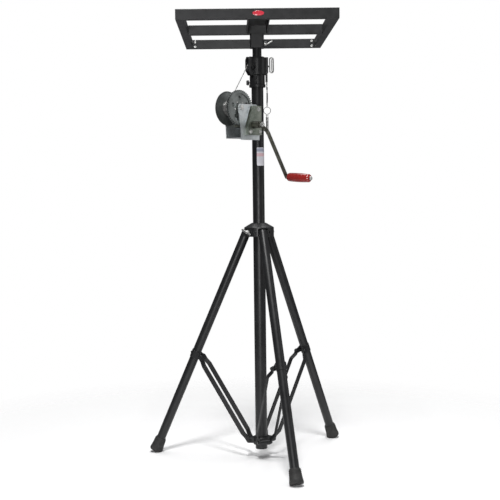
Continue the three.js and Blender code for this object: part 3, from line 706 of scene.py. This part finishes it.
# ---------------------------------------------------------------- winch frame
# A folded steel channel stands on a saddle on the mast: two side plates, a back and a floor.
# It is zinc plated, with a pressed cover over the brake on its right side.
def dressed(node, name, width, segments=2, edge=30):
    """A copy of a CAD node ready to be seen: its loose triangles are merged, those in one plane become
    one face, and every edge sharper than the angle is rounded over the width in millimetres."""
    work = bmesh.new()
    work.from_mesh(frame["nodes"][node].data)
    bmesh.ops.remove_doubles(work, verts=work.verts, dist=2e-6)
    bmesh.ops.dissolve_limit(work, angle_limit=math.radians(0.6), verts=work.verts, edges=work.edges)
    data = bpy.data.meshes.new(name)
    work.to_mesh(data)
    work.free()
    if "custom_normal" in data.attributes:
        data.attributes.remove(data.attributes["custom_normal"])
    made = bpy.data.objects.new(name, data)
    scene.collection.objects.link(made)
    shaded(made, edge)
    round_over = made.modifiers.new("rounded", "BEVEL")
    round_over.width = width / 1000
    round_over.segments = segments
    round_over.limit_method = "ANGLE"
    round_over.angle_limit = math.radians(edge)
    round_over.use_clamp_overlap = True
    shading = made.modifiers.new("even_shading", "WEIGHTED_NORMAL")
    shading.keep_sharp = True
    return made


def zinc_sheet(name, dark, light, grain=160.0, roughness=(0.30, 0.46)):
    """Zinc plated sheet: small crystals of slightly different grey, dull blotches, and rubbed marks."""
    finish = Finish(name, metallic=0.85)
    blotch = finish.ramp(finish.noise(24.0, 5.0), (0.3, *dark), (0.7, *light))
    crystals = finish.mapped(finish.cells(grain), 0.2, 0.9, 0.0, 0.35)
    finish.colour(finish.laid_over(crystals, blotch, tuple(1.25 * c for c in light)))
    finish.rough(finish.mapped(finish.noise(70.0, 4.0), 0.3, 0.7, *roughness))
    finish.bump(finish.noise(420.0, 3.0), 0.10, 0.08)
    return finish.material


bright_sheet = zinc_sheet("bright_zinc_sheet", (0.42, 0.45, 0.46), (0.62, 0.65, 0.66))
dull_sheet = zinc_sheet("dull_zinc_sheet", (0.11, 0.12, 0.115), (0.22, 0.235, 0.23))
green_sheet = zinc_sheet("green_passivated_sheet", (0.13, 0.15, 0.125), (0.27, 0.29, 0.25))

fitted(dressed("winch_saddle", "winch_saddle_block", 1.2),
       "mast", "black_paint", black_coat, "winch_saddle")
fitted(dressed("winch_frame", "winch_frame_plate", 0.9), "mast", "zinc", bright_sheet, "winch_frame")
fitted(dressed("brake_cover", "brake_cover_pressing", 2.2, 4), "mast", "zinc", green_sheet, "brake_cover")

# The cover's slanted side ends in a folded flange that lies on the side plate.
edge_low, edge_high = np.array((119.5, 1404.5)), np.array((87.6, 1487.0))
slant = (edge_high - edge_low) / np.linalg.norm(edge_high - edge_low)
away = np.array((slant[1], -slant[0]))
flange_long, flange_off = 86, 4.2
flange_line = [at_winch(46.6, *(edge_low + slant * share * flange_long + away * flange_off))
               for share in np.linspace(0.02, 0.98, 9)]
flange = swept(flange_line, eased([(-1.2, -5), (1.2, -5), (1.2, 5), (-1.2, 5)], 0.9) / 1000)
fitted(formed("cover_flange", flange), "mast", "zinc", bright_sheet)

cover_screws = together(
    hex_head(at_winch(62, 58, 1474), winch_axle, 11, 4.5, washer=8.5, stud=2),
    hex_head(at_winch(62, 105, 1381), winch_axle, 11, 4.5, washer=8.5, stud=2),
    hex_head(at_winch(62, 51, 1382), winch_axle, 9, 4, washer=7))
fitted(formed("cover_screws", cover_screws), "mast", "zinc", pale_zinc)
back_screws = together(*(hex_head(at_winch(x, 40, z), outward, 13, 5, washer=10, stud=3)
                         for x in (-22, 22) for z in (1386, 1456)))
fitted(formed("frame_screws", back_screws), "mast", "zinc", pale_zinc)


# ---------------------------------------------------------------- drum, gear and cable
# Two pressed flanges with rolled rims on a core, with the wire rope wound between them in close
# turns. The drum gear is riveted to the right flange; all three turn on one axle bolt.
drum_reach, drum_height = 140, 1479
drum_centre = at_winch(0, drum_reach, drum_height)
far_flange = [(-33.2, 22.5), (-33.6, 58), (-34.5, 66)]
far_roll = [(-35.0 - 1.7 * math.cos(t), 69.2 + 1.7 * math.sin(t)) for t in np.linspace(2.2, -2.6, 9)]
far_back = [(-36.2, 60), (-36.0, 30), (-37, 26), (-37, 8.5)]
near_flange = [(29, 8.5), (29, 64)]
near_roll = [(27.4 + 1.6 * math.cos(t), 66.3 + 1.6 * math.sin(t)) for t in np.linspace(-0.4, 3.6, 9)]
near_back = [(26.2, 60), (26.0, 22.5)]
drum_loop = np.array(near_flange + near_roll + near_back + far_flange + far_roll + far_back)
fitted(formed("winch_drum", turned(drum_loop, drum_centre, winch_axle, 112), 40),
       "drum", "zinc", dull_sheet, "drum")


def wire_rope():
    """Galvanised wire rope, greased: an uneven mid grey with duller and shinier stretches."""
    finish = Finish("galvanised_wire_rope", metallic=0.85)
    finish.colour(finish.ramp(finish.noise(500.0, 3.0),
                              (0.35, 0.07, 0.07, 0.068), (0.65, 0.24, 0.24, 0.235)))
    finish.rough(finish.mapped(finish.noise(300.0, 2.0), 0.3, 0.7, 0.32, 0.55))
    finish.bump(finish.noise(2400.0, 2.0), 0.3, 0.1)
    return finish.material


def stranded(path, radius, lay=24.0, strands=6, sides=18):
    """A rope of strands: the section's radius is 0.93 + 0.10 cos(strands x angle) of the rope's, and it
    turns once in each lay length along the path."""
    path = np.asarray(path, float)
    gone = np.concatenate(([0.0], np.cumsum(np.linalg.norm(np.diff(path, axis=0), axis=1)))) * 1000
    angle = ring_of(sides)[None]
    size = radius / 1000 * (0.93 + 0.10 * np.cos(strands * (angle - 2 * np.pi * gone[:, None] / lay)))
    return swept(path, np.stack((size * np.cos(angle), size * np.sin(angle)), 2))


rope = wire_rope()
coil_turns, coil_start, coil_pitch, coil_radius, coil_wire = 17, -31.0, 3.3, 31.2, 1.6
coil_angle = np.linspace(0, 2 * np.pi * coil_turns, coil_turns * 32 + 1)
coil_path = drum_centre + (np.outer(coil_start + coil_pitch * coil_angle / (2 * np.pi), winch_axle)
                           + np.outer(coil_radius * np.cos(coil_angle), outward)
                           + np.outer(coil_radius * np.sin(coil_angle), up)) / 1000
core = turned([(-32.4, 22.4), (-32.4, 30.4), (25.4, 30.4), (25.4, 22.4)], drum_centre, winch_axle, 64)
wound = together(swept(coil_path, round_section(coil_wire, 10)), core)
fitted(formed("wound_cable", wound, 60), "drum", "wire_rope", rope, "drum_cable")

# The outer run is the common tangent of the wound cable and the pulley's groove, then half round the
# pulley. Both stretches are worked out in the plane square to the winch's axles.
wound_at = 33.2
drop, span = pulley_height - drum_height, drum_reach - pulley_reach
rim_angle = math.atan2(span, drop) - math.asin((cable_bend - wound_at) / math.hypot(span, drop))
taken = np.array((-math.cos(rim_angle), math.sin(rim_angle)))
pulley_plan = np.array((-pulley_reach, pulley_height))
drum_leave = np.array((-drum_reach, drum_height)) + wound_at * taken
pulley_meet = pulley_plan + cable_bend * taken
straight = drum_leave + np.linspace(0, 1, 90)[:, None] * (pulley_meet - drum_leave)
over = np.linspace(rim_angle, np.pi, 40)[1:, None]
wrapped = pulley_plan + cable_bend * np.concatenate((-np.cos(over), np.sin(over)), 1)
cable_path = [at_winch(0, -y, z) for y, z in np.concatenate((straight, wrapped))]
fitted(formed("lift_cable_rope", stranded(cable_path, 1.75), 60), "mast", "wire_rope", rope, "lift_cable")
inner_reach, inner_low, inner_high = 21, 344.5, 1649.5
inner_run = [at_winch(0, inner_reach, z) for z in np.linspace(inner_low, inner_high, 500)]
fitted(formed("inner_cable_rope", stranded(inner_run, 1.6, sides=12), 60), "mast", "wire_rope", rope,
       "lift_cable_inner")

fitted(dressed("drum_gear", "drum_gear_wheel", 0.5, 1), "drum", "zinc", dull_sheet, "drum_gear")
rivet_outline, rivet_circle = [(0, 0), (0, 4), (2.2, 3.2), (3, 0)], 26
rivet_seats = [at_winch(34.3, drum_reach + rivet_circle * math.cos(angle),
                        drum_height + rivet_circle * math.sin(angle)) for angle in ring_of(5) + 1.0]
rivets = together(*(turned_solid(rivet_outline, 1.2, seat, winch_axle, 24) for seat in rivet_seats))
fitted(formed("gear_rivets", rivets), "drum", "zinc", pale_zinc)

drum_bolt = bolt_through(
    drum_centre, winch_axle, 46, 8, 0.6, 40,
    hex_head(at_winch(45.3, drum_reach, drum_height), winch_axle, 19, 6, stud=0.8),
    hex_head(at_winch(-45.3, drum_reach, drum_height), -winch_axle, 19, 6))
fitted(formed("drum_axle_bolt", drum_bolt), "mast", "zinc", pale_zinc, "drum_axle")


# ---------------------------------------------------------------- crank and brake
# The pinion shaft carries the ratchet wheel and, outside the cover, a thick hub. The forged arm is
# bolted on its end and carries a glossy red grip that turns on a steel spindle.
def oiled_steel():
    """Dark olive passivated steel with a film of oil: uneven tint, soft sheen, worn lighter spots."""
    finish = Finish("olive_passivated_steel", metallic=0.8)
    tint = finish.ramp(finish.noise(35.0, 5.0), (0.3, 0.060, 0.062, 0.050), (0.7, 0.135, 0.135, 0.110))
    worn = finish.mapped(finish.noise(160.0, 5.0), 0.60, 0.74, 0.0, 0.5)
    finish.colour(finish.laid_over(worn, tint, (0.30, 0.30, 0.27)))
    finish.rough(finish.mapped(finish.noise(60.0, 3.0), 0.3, 0.7, 0.30, 0.48))
    finish.bump(finish.noise(700.0, 3.0), 0.15, 0.08)
    return finish.material


def gloss_plastic(name, dark, light):
    """Glossy moulded plastic: slight flow marks, fine handling scratches and a clear skin."""
    finish = Finish(name, roughness=0.22, Coat_Weight=0.5, Coat_Roughness=0.08)
    flow = finish.noise(30.0, 3.0, finish.stretched(0.4, 0.4, 1.0))
    finish.colour(finish.ramp(flow, (0.3, *dark), (0.7, *light)))
    finish.rough(finish.mapped(finish.noise(380.0, 4.0), 0.35, 0.75, 0.18, 0.36))
    finish.bump(finish.noise(60.0, 2.0), 0.08, 0.3)
    return finish.material


olive_steel = oiled_steel()
fitted(dressed("pinion_shaft", "pinion_and_shaft", 0.5),
       "crank", "crank_steel", olive_steel, "pinion_shaft")
fitted(dressed("ratchet_wheel", "ratchet", 0.4, 1), "crank", "zinc", dull_sheet, "ratchet_wheel")
fitted(dressed("ratchet_pawl", "pawl_dog", 0.6), "pawl", "zinc", dull_sheet, "ratchet_pawl")

# The arm is a flat bar. Its line is a row of (down, outwards) pairs: level at the eye, out to clear
# the cover, then leaning back 4 degrees. Its half width is a circle round the eye and one at the end.
shaft_reach, shaft_height = 86, 1409
eye_spot = at_winch(100.3, shaft_reach, shaft_height)
swing = math.radians(34.5)
arm_down = -math.cos(swing) * up - math.sin(swing) * outward
lean = math.tan(math.radians(4))
arm_bends = eased([(-13, 3.5), (11, 3.5), (32, 20.5), (268, 20.5 - 235 * lean)], 14, 8, closed=False)


def finely(points, step=3):
    """The same broken line with a point about every step millimetres."""
    runs = []
    for first, last in zip(points[:-1], points[1:]):
        count = max(2, int(np.hypot(*(last - first)) / step))
        runs.append(first + (last - first) * np.linspace(0, 1, count, endpoint=False)[:, None])
    return np.concatenate(runs + [points[-1:]])


arm_steps = finely(arm_bends)
arm_along, arm_out = arm_steps.T
eye_radius, end_radius, end_at, bar_half, bar_thick = 13.2, 9.2, 258.9, 9.0, 3.5
eye_half = np.sqrt(np.clip(eye_radius ** 2 - arm_along ** 2, 0.4, None))
end_half = np.sqrt(np.clip(end_radius ** 2 - np.clip(arm_along - end_at, 0, None) ** 2, 0.4, None))
eye_end = 9.6
arm_half = np.where(arm_along < eye_end, eye_half, np.minimum(end_half, bar_half))
bar_section = squared_ring(28, 1.0, bar_thick, 0.55, 0.45)
arm_path = eye_spot + (np.outer(arm_along, arm_down) + np.outer(arm_out, winch_axle)) / 1000
arm_section = np.stack((bar_section[None, :, 0] * arm_half[:, None],
                        np.broadcast_to(bar_section[:, 1], (len(arm_path), 28))), 2) / 1000


def arm_surface():
    """The arm's section kept square to the shaft's plane: across is level with the bar's width and the
    thickness stands on the line of the bar."""
    tangent = np.gradient(arm_path, axis=0)
    tangent /= np.linalg.norm(tangent, axis=1)[:, None]
    width_way = np.cross(winch_axle, arm_down)
    thick_way = np.cross(tangent, width_way)
    points = (arm_path[:, None] + arm_section[:, :, :1] * width_way
              + arm_section[:, :, 1:] * thick_way[:, None])
    return points.reshape(-1, 3), grid_faces(len(arm_path), 28)


fitted(formed("crank_arm_forging", arm_surface(), 50), "crank", "crank_steel", olive_steel, "crank_arm")
end_nut = hex_head(at_winch(107.6, shaft_reach, shaft_height), winch_axle, 15, 7, washer=9.5, stud=2)
fitted(formed("crank_end_nut", end_nut), "crank", "bright_steel", pale_zinc, "crank_nut")

grip_axis = np.array(joints["grip_spin"]["axis"])
grip_start = np.array(joints["grip_spin"]["pos_m"])
spindle_outline = [(7.4, 0), (7.4, 8), (11, 8), (11.6, 5), (133, 5), (133, 8), (138, 7.2), (138, 0)]
spindle = turned_solid(spindle_outline, 0.8, grip_start, grip_axis, 36)
fitted(formed("grip_spindle_rod", spindle), "crank", "zinc", pale_zinc, "grip_spindle")
# The grip's barrel swells by a half sine, narrows a little to its end, and has nine shallow rings.
share = np.linspace(0, 1, 29)
rings = 0.35 * np.clip(np.cos(2 * np.pi * share * 9), 0.6, 1)
barrel_radius = 17.6 + 1.4 * np.sin(np.pi * share) ** 0.8 - 0.5 * share ** 4 - rings
barrel = np.stack((20 + 98 * share, barrel_radius), 1)
grip_neck = eased([(14, 5.5), (14, 13), (16.5, 15.6), tuple(barrel[0])], 1.2, closed=False)
grip_nose = eased([tuple(barrel[-1]), (124, 17.6), (130, 13), (132, 9), (132, 5.5)], 3, closed=False)
grip_loop = np.concatenate((grip_neck, barrel[1:], grip_nose[1:]))
red_plastic = gloss_plastic("dark_red_plastic", (0.20, 0.008, 0.007), (0.34, 0.018, 0.014))
fitted(formed("red_grip", turned(grip_loop, grip_start, grip_axis, 80), 50), "grip", "red_plastic",
       red_plastic, "crank_grip")


# ---------------------------------------------------------------- lamp frame
# Rectangular steel tube, mitre-free and welded: three cross bars, two side bars and a channel, with a
# square socket that a screw with a bent handle clamps on the inner mast. Plugs close the open tube ends.
rounded_by = {"front_bar": 1.8, "rear_bar": 1.8, "left_bar": 1.8, "right_bar": 1.8, "middle_bar": 1.8,
              "channel": 1.4, "socket": 1.6}
for part, width in rounded_by.items():
    fitted(dressed(f"frame_{part}", f"lamp_frame_{part}", width, 3), "lamp_frame", "black_paint",
           black_coat, f"frame_{part}")

left_low, left_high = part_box("frame_left_bar")
right_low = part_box("frame_right_bar")[0]
front_low, front_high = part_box("frame_front_bar")
rear_low, rear_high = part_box("frame_rear_bar")
middle_low, middle_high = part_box("frame_middle_bar")
channel_low, channel_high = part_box("frame_channel")
socket_low, socket_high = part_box("frame_socket")


def tube_plug(mouth, outwards, width, height):
    """A rectangular plastic plug pushed into a tube's end: a rim as a swept rounded box whose face is
    drawn in a little towards its edge."""
    loop = eased([(-width, -height), (width, -height), (width, height), (-width, height)], 1.5, 5) / 2000
    depth = np.array((-6.0, -0.4, 0.0, 0.0, -0.5, -0.5)) / 1000
    size = np.array((0.86, 0.86, 0.86, 0.80, 0.72, 0.02))[:, None, None]
    across_way = np.cross(outwards, up)
    rings = loop[None] * size
    points = (mouth + depth[:, None, None] * outwards + rings[:, :, :1] * across_way
              + rings[:, :, 1:] * up)
    return points.reshape(-1, 3), grid_faces(6, len(loop))


plugs = []
for low, high in ((front_low, front_high), (rear_low, rear_high)):
    for end, way in ((low[0], -1.0), (high[0], 1.0)):
        mouth = np.array((end, (low[1] + high[1]) / 2, (low[2] + high[2]) / 2))
        plugs.append(tube_plug(mouth, np.array((way, 0.0, 0.0)), 29, 39))
fitted(formed("tube_plugs", together(*plugs)), "lamp_frame", "black_plastic", black_plastic)


def weld_bead(first, last, lean=(0, 0, 0), pitch=3.2, radius=2.0):
    """A fillet weld between two points, moved 0.2 mm along lean: a half-sunk rod whose radius swells
    and shrinks along it, one swell for each ripple, thinned to nothing at both ends."""
    first, last = np.asarray(first), np.asarray(last)
    length = np.linalg.norm(last - first) * 1000
    s = np.linspace(0, 1, max(12, int(length / pitch * 6)))
    size = radius * (0.86 + 0.14 * np.abs(np.sin(np.pi * s * length / pitch)))
    size = size * np.clip(np.minimum(s, 1 - s) * length / 3, 0.05, 1) ** 0.5
    path = first + s[:, None] * (last - first) + 0.2 / 1000 * np.asarray(lean)
    return swept(path, round_section(1.0, 10)[None] * size[:, None, None])


beads = []
bead_low, bead_high = left_low[2] + 0.003, left_high[2] - 0.003
for x, x_way in ((left_high[0], 1), (right_low[0], -1)):
    for y, y_way in ((front_high[1], 1), (middle_low[1], -1), (middle_high[1], 1), (rear_low[1], -1)):
        beads.append(weld_bead((x, y, bead_low), (x, y, bead_high), (x_way, y_way, 0)))
for x in (channel_low[0], channel_high[0]):
    for y in (front_high[1], middle_low[1]):
        beads.append(weld_bead((x, y, bead_low), (x, y, bead_high), radius=1.6))
from_left, from_right, socket_top = socket_low[0] + 0.006, socket_high[0] - 0.006, socket_high[2]
for y in (middle_low[1], middle_high[1]):
    beads.append(weld_bead((from_left, y, socket_top), (from_right, y, socket_top), radius=1.6))
weld_coat = powder_coat("powder_coat_on_welds", rubbed=0.5)
fitted(formed("frame_welds", together(*beads), 60), "lamp_frame", "black_paint", weld_coat)

bar_screws = []
for x in (left_high[0] + 0.012, right_low[0] - 0.012):
    for z in (left_low[2] + 0.008, left_low[2] + 0.030):
        bar_screws.append(hex_head((x, rear_low[1], z), (0, -1, 0), 7.5, 3.2, washer=5.5))
fitted(formed("rear_bar_screws", together(*bar_screws)), "lamp_frame", "bright_steel", pale_zinc)

screw_z = 1752.0
shank = turned_solid([(19.9, 0), (19.9, 4), (30, 4), (30, 8), (40, 8), (40, 5), (44, 4), (44, 0)], 0.8,
                     spot(0, 0, screw_z), (1, 0, 0), 36)
handle_line = eased([(40.5, 0), (45.5, 0.5), (62.5, 10.2)], 5, 8, closed=False)
handle = swept([spot(x, 0, screw_z + z) for x, z in handle_line], round_section(3.2, 16))
ball_radius, ball_way = 4.0, (0.866, 0, 0.5)
ball_line = [(-ball_radius * math.cos(a), ball_radius * math.sin(a)) for a in np.linspace(0, np.pi, 13)]
ball = turned(ball_line, spot(62.0, 0, screw_z + 9.9), ball_way, 24, closed=False)
fitted(formed("clamp_screw", together(shank, handle, ball), 50), "socket_screw", "bright_steel",
       pale_zinc, "socket_screw")

# A plain red oval badge is stuck on the front bar: seven ovals of falling size, one above the other.
badge_x = (front_low[0] + front_high[0]) / 2 + 0.0035
badge_z = (front_low[2] + front_high[2]) / 2 + 0.0015
badge_size = np.array((0.02, 0.5, 0.86, 0.96, 1.0, 1.0, 0.02))[:, None, None]
badge_rise = np.array((1.5, 1.45, 1.3, 1.0, 0.6, 0.0, 0.0))[:, None] / 1000
ovals = squared_ring(64, 0.022, 0.0095, 1, 1)[None] * badge_size
badge_face = np.broadcast_to(front_low[1] - 0.00005 - badge_rise, ovals.shape[:2])
badge_points = np.stack((badge_x + ovals[:, :, 0], badge_face, badge_z + ovals[:, :, 1]), 2)
badge = (badge_points.reshape(-1, 3), grid_faces(7, 64))
fitted(formed("front_badge", badge, 50), "lamp_frame", "badge",
       gloss_plastic("badge_enamel", (0.42, 0.015, 0.03), (0.60, 0.035, 0.06)))


# ---------------------------------------------------------------- tripod hub and legs
# A cast hub slides on the mast. Each leg is a steel tube hinged in a slot of the hub, with a flared
# rubber foot that is cut square to the leg and worn flat where it stands.
fitted(casting("tripod_hub", "tripod_hub_casting", 1.5, 4),
       "hub", "black_paint", black_coat, "tripod_hub")


def moulded_rubber():
    """Black rubber: matt and slightly dusty, with a fine mould texture."""
    finish = Finish("black_rubber", roughness=0.75)
    finish.colour(finish.ramp(finish.noise(45.0, 5.0),
                              (0.35, 0.010, 0.010, 0.010), (0.75, 0.030, 0.029, 0.028)))
    finish.rough(finish.mapped(finish.noise(120.0, 3.0), 0.3, 0.7, 0.62, 0.85))
    finish.bump(finish.noise(900.0, 3.0), 0.25, 0.15)
    return finish.material


rubber = moulded_rubber()
leg_lean = math.radians(23.8)
leg_names = ("front", "right", "left")


def leg_ways(leg):
    """A leg's hinge point, its hinge's direction, and the directions away from the mast and down it."""
    hinge = joints[f"leg_fold_{leg}"]
    pivot, sideways = np.array(hinge["pos_m"]), np.array(hinge["axis"])
    radial = np.cross(sideways, up)
    radial *= np.sign(radial @ (pivot - mast_axis))
    return pivot, sideways, radial, math.sin(leg_lean) * radial - math.cos(leg_lean) * up


leg_end, leg_outside, leg_inside = 1054.7, 19, 16.8
tube_end, sole = leg_end - 22, leg_end - 8
foot_outline = [(sole, 0), (sole, 26), (sole - 3, 28.6), (sole - 9, 29), (sole - 20, 27),
                (sole - 45, 24.2), (sole - 60, 22.6), (sole - 62, 21), (sole - 62, 19.3),
                (tube_end - 0.3, 19.3), (tube_end - 0.3, 0)]
rib_loops = [eased([(sole - a, 23), (sole - a, r), (sole - a - 2.6, r), (sole - a - 2.6, 23)], 1.0)
             for a, r in ((38, 25.6), (45, 25.2), (52, 24.7))]
rivet_head = [(0, 0), (0, 5.5), (2.6, 4.8), (4.0, 2.2), (4.2, 0)]
for leg in leg_names:
    pivot, sideways, radial, down = leg_ways(leg)
    body = f"leg_{leg}"
    fitted(pipe(f"{leg}_leg", -5, tube_end, leg_outside, leg_inside, pivot, down, 0.8, 72),
           body, "black_paint", black_coat, f"leg_tube_{leg}")

    foot_points, foot_faces = turned_solid(foot_outline, 2.5, pivot, down, 72)
    foot_points[:, 2] = np.maximum(foot_points[:, 2], 0.0)
    foot = formed(f"{leg}_foot", (foot_points, foot_faces), 40)
    fitted(foot, body, "rubber", rubber, f"rubber_foot_{leg}")
    ribs = together(*(turned(loop, pivot, down, 72) for loop in rib_loops))
    fitted(formed(f"{leg}_foot_ribs", ribs), body, "rubber", rubber)

    pins = together(*(turned_solid(rivet_head, 1.2, pivot + 0.0305 * way, way, 32)
                      for way in (sideways, -sideways)))
    fitted(formed(f"{leg}_hinge_rivets", pins), "hub", "zinc", black_coat)

# The wing screw that locks the hub: a threaded stem and two flat wings swept back from it. Across the
# wings the height grows towards the tips and ends round, and the thickness falls off as a bell curve.
lock = joints["hub_lock_turn"]
lock_way = np.array(lock["axis"])
lock_base = np.array(lock["pos_m"]) - 0.070 * lock_way
wing_tilt, wing_half = math.radians(-24), 27.4
wing_way = math.cos(wing_tilt) * np.cross(up, lock_way) + math.sin(wing_tilt) * up
wing_up = np.cross(lock_way, wing_way)
share = np.linspace(-1, 1, 41)
out, far = np.abs(share), 76.8 + 2.4 * np.abs(share) ** 1.5
wing_centre = lock_base + (np.outer(far, lock_way) + np.outer(wing_half * share, wing_way)) / 1000
wing_high = 5.2 * (0.80 + 0.25 * out) * np.sqrt(np.clip(1 - out ** 7, 0.02, 1))
wing_thick = 2.1 + 2.6 * np.exp(-(share / 0.24) ** 2)
wing_loop = squared_ring(28, 1, 1, 0.6, 0.7)[None] * np.stack((wing_thick, wing_high), 1)[:, None] / 1000
wing_points = wing_centre[:, None] + wing_loop[:, :, :1] * lock_way + wing_loop[:, :, 1:] * wing_up
lock_stem = turned_solid([(26, 0), (26, 4), (65, 4), (65, 8), (75, 8), (77, 6.5), (77, 0)], 0.8,
                         lock_base, lock_way, 36)
wing = together((wing_points.reshape(-1, 3), grid_faces(41, 28)), lock_stem)
fitted(formed("hub_wing_screw", wing, 45), "hub_lock", "bright_steel", pale_zinc, "hub_lock_screw")


# ---------------------------------------------------------------- struts
# Flat steel bars in pairs hold each leg. They are bolted to the lugs of a collar on the foot of the
# mast and to the ears of a pressed clamp on the leg, and step outwards between their ends.
fitted(casting("strut_collar", "strut_collar_casting", 1.2, 4), "mast", "black_paint", black_coat,
       "strut_collar")
clamp_along, ear_reach, head_seat = 0.577, 0.030, 0.0276
for leg in leg_names:
    pivot, sideways, radial, down = leg_ways(leg)
    inward = -math.cos(leg_lean) * radial - math.sin(leg_lean) * up
    fitted(dressed(f"strut_clamp_{leg}", f"{leg}_strut_clamp", 0.8),
           f"leg_{leg}", "black_paint", black_coat, f"strut_clamp_{leg}")
    for letter in "ab":
        fitted(dressed(f"strut_{leg}_{letter}", f"{leg}_strut_{letter}", 1.0), f"struts_{leg}",
               "black_paint", black_coat, f"strut_{leg}_{letter}")
    ear = pivot + clamp_along * down + ear_reach * inward
    ends = together(hex_head(ear + head_seat * sideways, sideways, 13, 5, washer=9),
                    hex_head(ear - head_seat * sideways, -sideways, 13, 5, washer=9, stud=2.5))
    fitted(formed(f"{leg}_strut_bolt", ends), f"leg_{leg}", "zinc", black_coat)
    band_screw = hex_head(pivot + clamp_along * down - 0.0215 * inward, -inward, 8, 3)
    fitted(formed(f"{leg}_clamp_screw", band_screw), f"leg_{leg}", "zinc", black_coat)

    collar_pin = np.array(joints[f"strut_fold_{leg}"]["pos_m"])
    bolt = bolt_through(collar_pin, sideways, 30, 5, 0.5, 24,
                        hex_head(collar_pin + head_seat * sideways, sideways, 13, 5, stud=0.8),
                        hex_head(collar_pin - head_seat * sideways, -sideways, 13, 5))
    fitted(formed(f"{leg}_collar_bolt", bolt), "mast", "zinc", black_coat, f"collar_bolt_{leg}")
